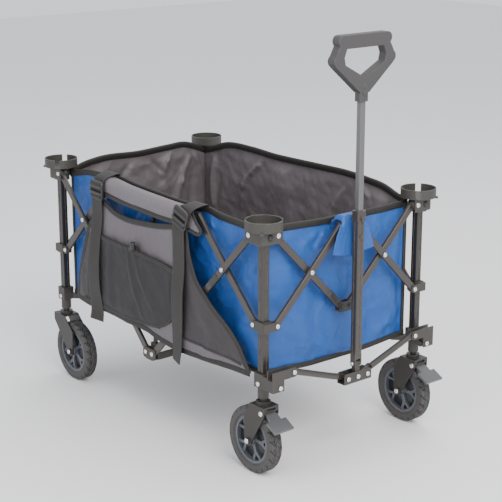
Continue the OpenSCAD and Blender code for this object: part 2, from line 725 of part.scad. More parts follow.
handle_upper_tube();
handle_grip();
fabric_tub();
pocket_panel();
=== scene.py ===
# %% [markdown]
# # Folding utility wagon with a pull handle
# The real thing is a scissor frame of painted steel bars between four posts, with a sewn tub hung inside it,
# four spoked wheels, a telescoping handle, and a cloth panel with a mesh pouch over one long side.
# The frame, wheels and handle come from the engineering model and stay exactly where they are: here they get
# their finishes. Everything sewn is made new, because a flat plate can't show how cloth hangs.
# We work in millimetres while we shape things and turn them into metres when a mesh is made.

# %% Load the frame
import json
import math
from functools import partial

import bmesh
import bpy
import numpy as np
from mathutils import Matrix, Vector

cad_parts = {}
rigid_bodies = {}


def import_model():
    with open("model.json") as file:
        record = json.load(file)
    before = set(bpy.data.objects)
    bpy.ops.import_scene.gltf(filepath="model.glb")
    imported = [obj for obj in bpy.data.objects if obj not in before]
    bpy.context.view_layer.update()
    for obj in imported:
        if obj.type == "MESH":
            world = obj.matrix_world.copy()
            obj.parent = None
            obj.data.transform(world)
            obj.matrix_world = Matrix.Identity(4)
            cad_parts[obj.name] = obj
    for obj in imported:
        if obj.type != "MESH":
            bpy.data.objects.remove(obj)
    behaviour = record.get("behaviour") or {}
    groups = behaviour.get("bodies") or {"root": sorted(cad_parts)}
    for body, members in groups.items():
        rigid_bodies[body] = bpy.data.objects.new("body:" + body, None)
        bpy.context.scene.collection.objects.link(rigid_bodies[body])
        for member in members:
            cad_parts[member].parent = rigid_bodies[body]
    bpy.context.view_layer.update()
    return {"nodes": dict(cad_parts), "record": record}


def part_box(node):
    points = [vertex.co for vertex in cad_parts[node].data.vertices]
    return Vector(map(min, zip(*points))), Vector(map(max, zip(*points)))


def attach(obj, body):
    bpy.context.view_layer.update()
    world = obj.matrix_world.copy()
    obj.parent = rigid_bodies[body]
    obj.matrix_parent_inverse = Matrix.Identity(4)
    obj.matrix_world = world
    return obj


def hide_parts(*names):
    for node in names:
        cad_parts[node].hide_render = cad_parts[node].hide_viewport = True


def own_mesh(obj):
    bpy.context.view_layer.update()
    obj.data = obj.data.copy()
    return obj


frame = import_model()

MM = 0.001
nodes, record = frame["nodes"], frame["record"]
body_of_node = {node: body for body, its_nodes in record["behaviour"]["bodies"].items() for node in its_nodes}


# %% Measures that everything else hangs on
def box_mm(node):
    """A node's lowest and highest corners in mm."""
    low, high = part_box(node)
    return np.array(low) / MM, np.array(high) / MM


post_low, post_high = box_mm("post_right_front")
POST_X, POST_Y = (post_low[:2] + post_high[:2]) / 2   # half the spans between the post centres
tub_low, tub_high = box_mm("fabric_tub")
TUB_X, TUB_Y = tub_high[0], tub_high[1]               # outer faces of the tub's walls
FLOOR_Z = tub_low[2]
PIN_Z, SLIDER_Z, HUB_Z = 612, box_mm("slider_right_front")[0][2] + 13, 195.2
PIN_REACH = 25                                        # from a post's centre to the pins beside it
SHORT_BAR, BAR_ANGLE = 317.6, math.radians(45.4)
WHEEL_Z, FRONT_WHEEL_X, REAR_WHEEL_X = 86, POST_X - 30, -POST_X + 50     # the wheels' centres
print("posts at", POST_X, POST_Y, "tub faces at", TUB_X, TUB_Y, "slider pins at", round(SLIDER_Z, 1))

# %% [markdown]
# ## Camera, light and floor
# The camera stands in front and to the left of the wagon, a little above it, with a long lens, so that the
# posts stay nearly parallel. A pale floor and three large soft lamps give the even light of a studio.
# Large lamps are used instead of small ones because painted tube shows every lamp as a streak.


# %% Camera
def look_from(azimuth, elevation, target, distance):
    """Camera matrix: azimuth 0 looks along +Y and 90 along -X, elevation is above the horizon, in degrees."""
    a, e = math.radians(azimuth), math.radians(elevation)
    view = np.array([-math.sin(a) * math.cos(e), math.cos(a) * math.cos(e), -math.sin(e)])
    right = np.array([math.cos(a), math.sin(a), 0.0])
    matrix = np.eye(4)
    matrix[:3, 0], matrix[:3, 1], matrix[:3, 2] = right, np.cross(right, view), -view
    matrix[:3, 3] = np.array(target) - view * distance
    return matrix


LENS_MM, LENS_DROP = 97.64749, -0.029482072     # long lens, lowered a little to keep the posts upright
camera_data = bpy.data.cameras.new("studio_camera")
camera_data.sensor_width = 36
camera_data.lens = LENS_MM
camera_data.shift_y = LENS_DROP
camera_data.clip_end = 50
camera = bpy.data.objects.new("studio_camera", camera_data)
bpy.context.collection.objects.link(camera)
camera.matrix_world = Matrix(look_from(50.72, 15.33, (0.0340, 0.0417, 0.4694), 3.74).tolist())
bpy.context.scene.camera = camera
print("lens", round(camera_data.lens, 1), "mm")


# %% Lamps, sky and floor
def soft_lamp(name, azimuth, elevation, distance, size, watts, colour=(1, 1, 1)):
    """A square lamp that faces the wagon's middle."""
    data = bpy.data.lights.new(name, "AREA")
    data.size, data.energy, data.color = size, watts, colour
    lamp = bpy.data.objects.new(name, data)
    bpy.context.collection.objects.link(lamp)
    lamp.matrix_world = Matrix(look_from(azimuth, elevation, (0, 0, 0.45), distance).tolist())


soft_lamp("key_lamp", 78, 38, 3.6, 2.2, 125, (1.0, 0.98, 0.95))
soft_lamp("fill_lamp", 8, 24, 4.0, 2.6, 38, (0.95, 0.97, 1.0))
soft_lamp("top_lamp", 200, 62, 3.8, 2.4, 55)

world = bpy.data.worlds.new("studio_sky")
bpy.context.scene.world = world
world.use_nodes = True
world.node_tree.nodes["Background"].inputs["Color"].default_value = (0.93, 0.95, 1.0, 1)
world.node_tree.nodes["Background"].inputs["Strength"].default_value = 1.15

floor_mesh = bpy.data.meshes.new("studio_floor")
floor_mesh.from_pydata([(-9, -9, 0), (9, -9, 0), (9, 9, 0), (-9, 9, 0)], [], [(0, 1, 2, 3)])
floor = bpy.data.objects.new("studio_floor", floor_mesh)
bpy.context.collection.objects.link(floor)
print("three lamps, a pale sky and a floor")

# %% [markdown]
# ## How we build finishes
# A finish is a small tree of shader nodes. One helper adds a node and fills its sockets, so that the trees
# stay readable. Effects that many finishes share are node groups: worn edges with a painted highlight, fine
# grain, a plain weave with painted shade between its threads, crumpled cloth, tyre tread and rows of stitches.
# Each group only gives masks, heights and normals, and the Principled shader stays in the finish itself.


# %% Node helper
def put(tree, kind, inputs=None, **settings):
    """Adds a node, sets its properties, and fills each named input with a value or a link."""
    node = tree.nodes.new(kind)
    for name, value in settings.items():
        setattr(node, name, value)
    for name, value in (inputs or {}).items():
        if isinstance(value, bpy.types.NodeSocket):
            tree.links.new(value, node.inputs[name])
        else:
            node.inputs[name].default_value = value
    return node


def sums(tree, operation, a, b=0.0, c=0.0, clamp=False):
    """One Math node; a, b and c are numbers or sockets."""
    return put(tree, "ShaderNodeMath", {0: a, 1: b, 2: c}, operation=operation, use_clamp=clamp).outputs[0]


def tools(tree):
    """put and sums for one tree, so that its name isn't repeated."""
    return partial(put, tree), partial(sums, tree)


def new_group(name, inputs, outputs):
    """An empty node group with these sockets: (name, kind, default) in, (name, kind) out."""
    tree = bpy.data.node_groups.new(name, "ShaderNodeTree")
    for label, kind, default in inputs:
        socket = tree.interface.new_socket(name=label, in_out="INPUT", socket_type=kind)
        if default is not None:
            socket.default_value = default
    for label, kind in outputs:
        tree.interface.new_socket(name=label, in_out="OUTPUT", socket_type=kind)
    return tree, tree.nodes.new("NodeGroupInput").outputs, tree.nodes.new("NodeGroupOutput").inputs


# %% Shared effect: worn edges with a painted highlight
worn_lit_edge_tree, given, result = new_group(
    "worn_edges",
    [("Radius", "NodeSocketFloat", 0.0012), ("Wear", "NodeSocketFloat", 0.5)],
    [("Edge", "NodeSocketFloat"), ("Normal", "NodeSocketVector")])
add, calc = tools(worn_lit_edge_tree)
rounded = add("ShaderNodeBevel", {"Radius": given["Radius"]}, samples=4).outputs[0]
flat_way = add("ShaderNodeNewGeometry").outputs["Normal"]
turn = add("ShaderNodeVectorMath", {0: rounded, 1: flat_way}, operation="DOT_PRODUCT").outputs["Value"]
place = add("ShaderNodeTexCoord").outputs["Object"]
patches = add("ShaderNodeTexNoise", {"Vector": place, "Scale": 90.0, "Detail": 3.0}).outputs["Fac"]
# Edge mask: lightens the colour at edges, partly as paint wear and partly as a painted highlight.
edge = calc("MULTIPLY", calc("SUBTRACT", 1.0, turn), 5.0, clamp=True)
edge = calc("MULTIPLY", edge, calc("MULTIPLY_ADD", patches, 2.4, -0.55, clamp=True))
worn_lit_edge_tree.links.new(calc("MULTIPLY", edge, given["Wear"]), result["Edge"])
worn_lit_edge_tree.links.new(rounded, result["Normal"])

# %% Shared effect: fine grain and slow colour change
grain_tree, given, result = new_group(
    "fine_grain",
    [("Size", "NodeSocketFloat", 900.0), ("Blotch", "NodeSocketFloat", 6.0)],
    [("Height", "NodeSocketFloat"), ("Tone", "NodeSocketFloat")])
place = put(grain_tree, "ShaderNodeTexCoord").outputs["Object"]
fine = put(grain_tree, "ShaderNodeTexNoise", {"Vector": place, "Scale": given["Size"], "Detail": 2.0})
slow = put(grain_tree, "ShaderNodeTexNoise", {"Vector": place, "Scale": given["Blotch"], "Detail": 4.0})
grain_tree.links.new(fine.outputs["Fac"], result["Height"])
grain_tree.links.new(slow.outputs["Fac"], result["Tone"])

# %% Shared effect: plain weave with painted shade between its threads
weave_tree, given, result = new_group(
    "plain_weave",
    [("Flat place", "NodeSocketVector", None), ("Threads per metre", "NodeSocketFloat", 1400.0)],
    [("Height", "NodeSocketFloat"), ("Shade", "NodeSocketFloat")])
add, calc = tools(weave_tree)
parts = add("ShaderNodeSeparateXYZ", {"Vector": given["Flat place"]}).outputs
half_turns = calc("MULTIPLY", given["Threads per metre"], math.pi)
across = calc("SINE", calc("MULTIPLY", parts["X"], half_turns))
along = calc("SINE", calc("MULTIPLY", parts["Y"], half_turns))
knuckles = calc("MULTIPLY", across, along)
drawn_out = add("ShaderNodeMapping", {"Vector": given["Flat place"], "Scale": (700.0, 25.0, 1.0)}).outputs[0]
slubs = add("ShaderNodeTexNoise", {"Vector": drawn_out, "Scale": 1.0, "Detail": 2.0}).outputs["Fac"]
uneven = calc("MULTIPLY_ADD", slubs, 0.24, 0.88)
weave_tree.links.new(calc("MULTIPLY_ADD", knuckles, 0.5, 0.5), result["Height"])
# Colour factor: painted shade, darker between thread crossings and lighter on them, over the slubs' uneven yarn
# tone.
weave_tree.links.new(calc("MULTIPLY_ADD", knuckles, 0.14, uneven), result["Shade"])

# %% Shared effect: crumpled cloth
crumple_tree, given, result = new_group(
    "crumpled_cloth", [("Flat place", "NodeSocketVector", None)], [("Height", "NodeSocketFloat")])
add, calc = tools(crumple_tree)
flat = given["Flat place"]
warp = add("ShaderNodeTexNoise", {"Vector": flat, "Scale": 6.0, "Detail": 1.0}).outputs["Color"]
bent = add("ShaderNodeVectorMath", {0: warp, 1: (0.16, 0.16, 0.0), 2: flat},
           operation="MULTIPLY_ADD").outputs[0]
swell = add("ShaderNodeTexNoise",
            {"Vector": bent, "Scale": 8.0, "Detail": 2.5, "Roughness": 0.45}).outputs["Fac"]
veins = add("ShaderNodeTexNoise", {"Vector": bent, "Scale": 13.0, "Detail": 1.0}).outputs["Fac"]
ridge = calc("ABSOLUTE", calc("SUBTRACT", veins, 0.5))
crumple_tree.links.new(calc("MULTIPLY_ADD", ridge, -0.9, swell), result["Height"])

# %% Shared effect: tyre tread
tread_tree, given, result = new_group(
    "tyre_tread", [("Blocks", "NodeSocketFloat", 21.0)],
    [("Height", "NodeSocketFloat"), ("Groove", "NodeSocketFloat")])
add, calc = tools(tread_tree)
spot = add("ShaderNodeSeparateXYZ", {"Vector": add("ShaderNodeTexCoord").outputs["Object"]}).outputs
at_front = calc("GREATER_THAN", spot["X"], 0.0)
hub_x = calc("MULTIPLY_ADD", at_front, (FRONT_WHEEL_X - REAR_WHEEL_X) * MM, REAR_WHEEL_X * MM)
from_x = calc("SUBTRACT", spot["X"], hub_x)
from_z = calc("SUBTRACT", spot["Z"], WHEEL_Z * MM)
off_middle = calc("SUBTRACT", calc("ABSOLUTE", spot["Y"]), POST_Y * MM)
angle = calc("DIVIDE", calc("ARCTAN2", from_z, from_x), 2 * math.pi)
out = calc("SQRT", calc("MULTIPLY_ADD", from_x, from_x, calc("MULTIPLY", from_z, from_z)))
side_step = calc("MULTIPLY", calc("SIGN", off_middle), 0.25)
zigzag = calc("PINGPONG", calc("MULTIPLY", off_middle, 60.0), 0.5)
blocks_gone = calc("ADD", calc("MULTIPLY_ADD", angle, given["Blocks"], zigzag), side_step)
cross_groove = calc("LESS_THAN", calc("FRACT", blocks_gone), 0.17)
ring_wave = calc("MULTIPLY", calc("SINE", calc("MULTIPLY", angle, 21 * 2 * math.pi)), 0.0022)
from_ring = calc("SUBTRACT", calc("ABSOLUTE", calc("ADD", off_middle, ring_wave)), 0.0065)
ring_groove = calc("LESS_THAN", calc("ABSOLUTE", from_ring), 0.0011)
on_tread = calc("GREATER_THAN", out, 0.0765)
groove = calc("MULTIPLY", calc("MAXIMUM", cross_groove, ring_groove), on_tread)
tread_tree.links.new(calc("SUBTRACT", 1.0, groove), result["Height"])
# The groove mask also carries the tread's painted shade.
tread_tree.links.new(groove, result["Groove"])

# %% Shared effect: rows of stitches
stitch_tree, given, result = new_group(
    "stitch_rows",
    [("Flat place", "NodeSocketVector", None), ("Row", "NodeSocketFloat", 0.0025),
     ("Far row", "NodeSocketFloat", 0.0175), ("Pitch", "NodeSocketFloat", 0.0035)],
    [("Stitch", "NodeSocketFloat")])
add, calc = tools(stitch_tree)
parts = add("ShaderNodeSeparateXYZ", {"Vector": given["Flat place"]}).outputs
near_row = calc("ABSOLUTE", calc("SUBTRACT", parts["X"], given["Row"]))
far_row = calc("ABSOLUTE", calc("SUBTRACT", parts["X"], given["Far row"]))
in_row = calc("LESS_THAN", calc("MINIMUM", near_row, far_row), 0.00045)
beat = calc("FRACT", calc("DIVIDE", parts["Y"], given["Pitch"]))
stitch_tree.links.new(calc("MULTIPLY", in_row, calc("LESS_THAN", beat, 0.68)), result["Stitch"])
print("shared effects:", [g.name for g in bpy.data.node_groups])

# %% [markdown]
# ## Finishes for metal, plastic and rubber
# The tubes and plates are coated in a satin bronze-grey paint. Paint pulls thin over an edge and rubs bright
# there, so the edge mask lightens it, partly as wear and partly as a painted highlight, and a slow noise keeps
# long tubes from looking printed. The cup trays, rims and grip are moulded plastic: less shine, a finer grain.
# Tyres are matt rubber, with painted shade in the grooves.


# %% Hard finishes
def tones(colour, spread):
    """A darker and a lighter version of a colour, for slow changes over a surface."""
    return [c * (1 - spread) for c in colour] + [1], [min(c * (1 + spread), 1) for c in colour] + [1]


def mixed(tree, share, a, b):
    """Colour a where share is 0 and colour b where it is 1; each is a socket or four numbers."""
    return put(tree, "ShaderNodeMix", {0: share, 6: a, 7: b}, data_type="RGBA").outputs[2]


def hard_finish(name, colour, worn_and_highlit_colour, rough, metal=0.0, wear_and_highlight=0.6, radius=0.0012, grain=900.0, depth=0.03,
                coat=0.0, blotch=5.0, spread=0.12):
    """Principled finish with edges lightened partly as wear and partly as a painted highlight, grain height and
    slow colour change.
    """
    material = bpy.data.materials.new(name)
    material.use_nodes = True
    tree = material.node_tree
    shader = tree.nodes["Principled BSDF"]
    edges = put(tree, "ShaderNodeGroup", {"Radius": radius, "Wear": wear_and_highlight}, node_tree=worn_lit_edge_tree).outputs
    fine = put(tree, "ShaderNodeGroup", {"Size": grain, "Blotch": blotch}, node_tree=grain_tree).outputs
    # The edge mask mixes in the lighter edge colour: partly wear, partly a painted highlight.
    paint = mixed(tree, edges["Edge"], mixed(tree, fine["Tone"], *tones(colour, spread)), (*worn_and_highlit_colour, 1))
    tree.links.new(paint, shader.inputs["Base Color"])
    tree.links.new(sums(tree, "MULTIPLY_ADD", fine["Tone"], 0.22, rough - 0.11, clamp=True),
                   shader.inputs["Roughness"])
    bump = put(tree, "ShaderNodeBump", {"Height": fine["Height"], "Strength": depth, "Distance": 0.001,
                                        "Normal": edges["Normal"]})
    tree.links.new(bump.outputs[0], shader.inputs["Normal"])
    shader.inputs["Metallic"].default_value = metal
    shader.inputs["Coat Weight"].default_value = coat
    shader.inputs["Coat Roughness"].default_value = 0.25
    return material


bar_paint = hard_finish("bronze_grey_tube_paint", (0.052, 0.044, 0.038), (0.28, 0.27, 0.25), 0.36, metal=0.30,
                        wear_and_highlight=0.75, coat=0.15)
post_paint = hard_finish("dark_post_paint", (0.036, 0.031, 0.027), (0.24, 0.24, 0.22), 0.32, metal=0.35,
                         wear_and_highlight=0.8, coat=0.2)
plate_paint = hard_finish("bracket_paint", (0.046, 0.041, 0.036), (0.20, 0.20, 0.19), 0.46, metal=0.2,
                          wear_and_highlight=0.6, grain=650.0, depth=0.05)
fork_paint = hard_finish("fork_paint", (0.038, 0.034, 0.031), (0.30, 0.28, 0.26), 0.42, metal=0.35, wear_and_highlight=0.7)
pedal_steel = hard_finish("pedal_steel", (0.115, 0.115, 0.118), (0.34, 0.34, 0.34), 0.40, metal=0.45,
                          wear_and_highlight=0.7)
tray_plastic = hard_finish("cup_tray_plastic", (0.040, 0.037, 0.032), (0.22, 0.22, 0.20), 0.52, wear_and_highlight=0.85,
                           radius=0.0014, grain=1300.0, depth=0.08)
grip_plastic = hard_finish("grip_plastic", (0.050, 0.047, 0.048), (0.16, 0.15, 0.15), 0.58, wear_and_highlight=0.55,
                           radius=0.004, grain=1100.0, depth=0.12)
rim_plastic = hard_finish("rim_plastic", (0.085, 0.092, 0.106), (0.38, 0.40, 0.44), 0.42, metal=0.15,
                          wear_and_highlight=0.95, radius=0.0016, grain=700.0, depth=0.04)
rubber = hard_finish("tyre_rubber", (0.060, 0.056, 0.054), (0.16, 0.155, 0.15), 0.78, wear_and_highlight=0.6,
                     radius=0.0022, grain=420.0, depth=0.22, blotch=22.0, spread=0.25)
black_plastic = hard_finish("black_buckle_plastic", (0.020, 0.019, 0.018), (0.075, 0.07, 0.066), 0.42,
                            wear_and_highlight=0.6, radius=0.0008, grain=1500.0, depth=0.05)
rivet_steel = hard_finish("bright_rivet_steel", (0.72, 0.71, 0.69), (0.9, 0.9, 0.9), 0.26, metal=0.9,
                          wear_and_highlight=0.3, radius=0.0005, spread=0.05)
floor_paint = hard_finish("pale_studio_floor", (0.86, 0.86, 0.86), (0.9, 0.9, 0.9), 0.75, wear_and_highlight=0.0, depth=0.0,
                          spread=0.01)
floor_mesh.materials.append(floor_paint)
upper_tube_paint = hard_finish("upper_tube_paint", (0.135, 0.130, 0.130), (0.34, 0.33, 0.33), 0.34,
                               metal=0.35,
                               coat=0.2)
# The rim plastic's colour darkened to about a third: painted shade for the disc inside each wheel.
rim_web_painted_shade = hard_finish("rim_web_plastic", (0.030, 0.033, 0.038), (0.06, 0.06, 0.07), 0.5, wear_and_highlight=0.0)

tree = rubber.node_tree
shader = tree.nodes["Principled BSDF"]
tread = put(tree, "ShaderNodeGroup", node_tree=tread_tree).outputs
rubber_wear_and_highlight = shader.inputs["Base Color"].links[0].from_socket
# Painted shade: the tread's grooves are coloured near black.
groove_painted_shade = mixed(tree, tread["Groove"], rubber_wear_and_highlight, (0.012, 0.012, 0.012, 1))
tree.links.new(groove_painted_shade, shader.inputs["Base Color"])
grain_bump = shader.inputs["Normal"].links[0].from_socket
cut = put(tree, "ShaderNodeBump", {"Height": tread["Height"], "Strength": 0.9, "Distance": 0.003,
                                   "Normal": grain_bump})
tree.links.new(cut.outputs[0], shader.inputs["Normal"])
print("hard finishes:", len(bpy.data.materials))

# %% [markdown]
# ## Finishes for cloth
# The tub is coated polyester, blue outside and grey inside; its edges are bound with dark tape; the straps
# are ribbed webbing; the pouch is an open mesh. Each reads its own flat map, which is laid out in metres, so
# that threads keep one size on every piece and follow it round its folds.


# %% Cloth finishes
def cloth_finish(name, colour, rough=0.72, threads=1400.0, depth=0.25, sheen=0.25, stitches=None,
                 spread=0.10, holes=False, crumpled=0.5):
    """Woven finish; stitches is (row, far row, pitch) in metres across and along the flat map."""
    material = bpy.data.materials.new(name)
    material.use_nodes = True
    tree = material.node_tree
    shader = tree.nodes["Principled BSDF"]
    flat = put(tree, "ShaderNodeUVMap", uv_map="flat").outputs[0]
    weave = put(tree, "ShaderNodeGroup", {"Flat place": flat, "Threads per metre": threads},
                node_tree=weave_tree).outputs
    fine = put(tree, "ShaderNodeGroup", {"Blotch": 7.0}, node_tree=grain_tree).outputs
    dyed = mixed(tree, fine["Tone"], *tones(colour, spread))
    # The dyed colour times the weave's painted shade and yarn tone.
    shaded = put(tree, "ShaderNodeVectorMath", {0: dyed, "Scale": weave["Shade"]},
                 operation="SCALE").outputs[0]
    height = weave["Height"]
    if stitches:
        sewn = put(tree, "ShaderNodeGroup", {"Flat place": flat, "Row": stitches[0], "Far row": stitches[1],
                                             "Pitch": stitches[2]}, node_tree=stitch_tree).outputs[0]
        shaded = mixed(tree, sewn, shaded, [min(c * 2.4 + 0.03, 1) for c in colour] + [1])
        height = sums(tree, "MULTIPLY_ADD", sewn, 2.0, height)
    tree.links.new(shaded, shader.inputs["Base Color"])
    tree.links.new(sums(tree, "MULTIPLY_ADD", fine["Tone"], 0.2, rough - 0.1, clamp=True),
                   shader.inputs["Roughness"])
    crumple = put(tree, "ShaderNodeGroup", {"Flat place": flat}, node_tree=crumple_tree).outputs[0]
    folds = put(tree, "ShaderNodeBump", {"Height": crumple, "Strength": crumpled,
                                         "Distance": 0.02}).outputs[0]
    bump = put(tree, "ShaderNodeBump", {"Height": height, "Strength": depth, "Distance": 0.0004,
                                        "Normal": folds})
    tree.links.new(bump.outputs[0], shader.inputs["Normal"])
    shader.inputs["Sheen Weight"].default_value = sheen
    shader.inputs["Sheen Roughness"].default_value = 0.45
    if holes:
        spots = put(tree, "ShaderNodeTexVoronoi", {"Vector": flat, "Scale": 420.0, "Randomness": 0.0})
        tree.links.new(sums(tree, "GREATER_THAN", spots.outputs["Distance"], 0.22), shader.inputs["Alpha"])
    return material


blue_cloth = cloth_finish("blue_polyester", (0.010, 0.080, 0.315), rough=0.52, sheen=0.02, spread=0.16,
                          crumpled=0.95)
lining_cloth = cloth_finish("grey_lining", (0.108, 0.093, 0.098), rough=0.50, sheen=0.04, spread=0.14)
panel_cloth = cloth_finish("grey_panel_cloth", (0.108, 0.094, 0.105), rough=0.60, sheen=0.06, spread=0.10)
light_cloth = cloth_finish("light_grey_cloth", (0.130, 0.115, 0.126), rough=0.60, sheen=0.06, spread=0.08)
mesh_cloth = cloth_finish("pouch_mesh", (0.020, 0.017, 0.019), rough=0.7, threads=800.0, sheen=0.05,
                          holes=True)
backed_mesh = cloth_finish("mesh_over_panel", (0.030, 0.025, 0.028), rough=0.62, threads=700.0, sheen=0.05,
                           depth=0.6)
tape_cloth = cloth_finish("dark_binding_tape", (0.014, 0.012, 0.010), rough=0.66, threads=1100.0, depth=0.5,
                          sheen=0.0, crumpled=0.1, stitches=(0.004, 0.020, 0.0035))
webbing = cloth_finish("dark_webbing", (0.014, 0.0115, 0.009), rough=0.56, threads=520.0, depth=0.8,
                       sheen=0.0,
                       crumpled=0.1, stitches=(0.004, 0.046, 0.004))
print("finishes in all:", len(bpy.data.materials))

# %% [markdown]
# ## Surfaces from numpy
# Every sewn piece is a grid of points worked out in one go. A sheet gets a second grid for its other face and
# is closed round its edge, so that it has a real thickness. A tape or strap is a flat profile carried along a
# path. The flat map keeps where each point lies on the cloth before it was sewn.


# %% Mesh helpers
def finish_mesh(name, points, faces, flat, face_materials, materials, smooth=True):
    """Turns points in mm and faces with flat-map corners into an object at the origin."""
    mesh = bpy.data.meshes.new(name)
    mesh.from_pydata((np.asarray(points) * MM).tolist(), [], np.asarray(faces).tolist())
    layer = mesh.uv_layers.new(name="flat")
    layer.data.foreach_set("uv", np.asarray(flat, np.float32).ravel())
    for material in materials:
        mesh.materials.append(material)
    mesh.polygons.foreach_set("material_index", np.asarray(face_materials, np.int32))
    mesh.polygons.foreach_set("use_smooth", np.full(len(faces), smooth))
    whole = bmesh.new()
    whole.from_mesh(mesh)
    bmesh.ops.recalc_face_normals(whole, faces=whole.faces)
    whole.to_mesh(mesh)
    whole.free()
    mesh.update()
    thing = bpy.data.objects.new(name, mesh)
    bpy.context.collection.objects.link(thing)
    return thing


def grid_quads(rows, cols, start=0):
    """Faces of a rows by cols grid of points numbered row by row."""
    i, j = [k.ravel() for k in np.meshgrid(np.arange(rows - 1), np.arange(cols - 1), indexing="ij")]
    k = start + i * cols + j
    return np.stack([k, k + 1, k + cols + 1, k + cols], 1)


def sheet_between(name, front, back, flat, materials):
    """A closed sheet between two grids of points that share their flat map. The front and the edge take the
    first finish and the back takes the second, if there is one."""
    rows, cols = front.shape[:2]
    count = rows * cols
    face = grid_quads(rows, cols)
    rim = np.concatenate([np.arange(cols - 1), np.arange(rows - 1) * cols + cols - 1,
                          count - 1 - np.arange(cols - 1), (np.arange(rows - 1)[::-1] + 1) * cols])
    ahead = np.roll(rim, -1)
    edge = np.stack([rim, rim + count, ahead + count, ahead], 1)
    faces = np.concatenate([face, face[:, ::-1] + count, edge])
    place = np.concatenate([flat.reshape(-1, 2)] * 2)
    which = np.repeat([0, min(1, len(materials) - 1), 0], [len(face), len(face), len(rim)])
    points = np.concatenate([front.reshape(-1, 3), back.reshape(-1, 3)])
    return finish_mesh(name, points, faces, place[faces], which, materials)


def flow(path, closed=False):
    """Unit direction of travel at each point of a path."""
    step = (np.roll(path, -1, 0) - np.roll(path, 1, 0)) if closed else np.gradient(path, axis=0)
    return step / np.maximum(np.linalg.norm(step, axis=1, keepdims=True), 1e-9)


def carried(name, path, side, profile, material, closed=False):
    """Profile (across, out) in mm carried along path; side is the across direction at each point and out is
    square to it and to the path. Open ends are closed flat."""
    ahead = flow(path, closed)
    side = np.broadcast_to(side, path.shape)
    side = side - ahead * np.sum(side * ahead, 1, keepdims=True)
    side = side / np.linalg.norm(side, axis=1, keepdims=True)
    out = np.cross(ahead, side)
    n, m = len(path), len(profile)
    points = path[:, None] + profile[None, :, :1] * side[:, None] + profile[None, :, 1:] * out[:, None]
    i, j = [k.ravel() for k in np.meshgrid(np.arange(n if closed else n - 1), np.arange(m), indexing="ij")]
    i2, j2 = (i + 1) % n, (j + 1) % m
    faces = np.stack([i * m + j, i * m + j2, i2 * m + j2, i2 * m + j], 1)
    girth = np.concatenate([[0], np.cumsum(np.linalg.norm(np.roll(profile, -1, 0) - profile, axis=1))]) * MM
    run = np.concatenate([[0], np.cumsum(np.linalg.norm(np.diff(path, axis=0), axis=1))]) * MM
    run = np.append(run, run[-1] + (np.linalg.norm(path[0] - path[-1]) * MM if closed else 0))
    flat = np.stack([np.stack([girth[j], run[i]], 1), np.stack([girth[j + 1], run[i]], 1),
                     np.stack([girth[j + 1], run[i + 1]], 1), np.stack([girth[j], run[i + 1]], 1)], 1)
    if not closed:
        corner = np.arange(m)
        half = m // 2
        near = corner[:half - 1]
        fold = np.stack([near, corner[1:half], m - 2 - near, m - 1 - near], 1)
        caps = np.concatenate([fold[:, ::-1], fold + (n - 1) * m])
        faces = np.concatenate([faces, caps])
        flat = np.concatenate([flat, np.zeros((len(caps), 4, 2))])
    return finish_mesh(name, points.reshape(-1, 3), faces, flat, np.zeros(len(faces)), [material])


def tape_profile(width, thick, start=0.0):
    """Even-sided flat profile: out along one face and back along the other, with softened edges."""
    across = np.array([0, 0.02, 0.10, 0.5, 0.90, 0.98, 1.0]) * width + start
    lift = np.array([0.15, 0.42, 0.5, 0.5, 0.5, 0.42, 0.15]) * thick
    return np.concatenate([np.stack([across, lift], 1), np.stack([across[::-1], -lift[::-1]], 1)])


def through(at, xs, ys):
    """Smooth curve through points (xs, ys): Hermite pieces whose slopes come from each point's neighbours."""
    xs, ys = np.asarray(xs, float), np.asarray(ys, float)
    slope = np.gradient(ys, xs)
    k = np.clip(np.searchsorted(xs, at) - 1, 0, len(xs) - 2)
    h = xs[k + 1] - xs[k]
    t = np.clip((at - xs[k]) / h, 0, 1)
    return ((2 * t**3 - 3 * t**2 + 1) * ys[k] + (t**3 - 2 * t**2 + t) * h * slope[k]
            + (3 * t**2 - 2 * t**3) * ys[k + 1] + (t**3 - t**2) * h * slope[k + 1])


def smooth_path(points, count):
    """count points spread evenly along a smooth curve through the given ones."""
    points = np.asarray(points, float)
    gone = np.concatenate([[0], np.cumsum(np.linalg.norm(np.diff(points, axis=0), axis=1))])
    fine = np.linspace(0, gone[-1], count)
    return np.stack([through(fine, gone, points[:, k]) for k in range(points.shape[1])], 1)


def creases(s, z, folds):
    """Sum of ridges: each fold is (s0, z0, s1, z1, width, height), a soft ridge along a line that dies away
    at its ends."""
    total = np.zeros_like(s)
    for s0, z0, s1, z1, width, height in folds:
        ds, dz = s1 - s0, z1 - z0
        long = math.hypot(ds, dz)
        t = ((s - s0) * ds + (z - z0) * dz) / (ds * ds + dz * dz)
        tc = np.clip(t, 0, 1)
        off_s, off_z = s - s0 - tc * ds, z - z0 - tc * dz
        away = off_s * dz / long - off_z * ds / long
        past = np.hypot(off_s, off_z) ** 2 - away ** 2
        bow = 0.05 * long * np.sin(np.pi * tc)
        strength = 0.35 + 0.65 * np.sin(np.pi * np.clip(0.15 + 0.7 * tc, 0, 1))
        total += height * np.exp(-((away - bow) ** 2 + np.maximum(past, 0)) / width ** 2) * strength
    return total


def slack(s, z, seed, height=1.0):
    """Soft ripples of slack cloth: a sum of waves of falling height in directions drawn from a fixed seed."""
    draw = np.random.default_rng(seed)
    total = np.zeros_like(s)
    for k in range(14):
        size = 300 / (1.25 ** k)
        way, phase = draw.uniform(0, 2 * np.pi, 2)
        total += size ** 0.8 / 60 * np.sin((np.cos(way) * s + np.sin(way) * z) * 2 * np.pi / size + phase
                                           + 0.8 * np.sin(z / 90 + 3 * phase))
    return total * height * 0.55


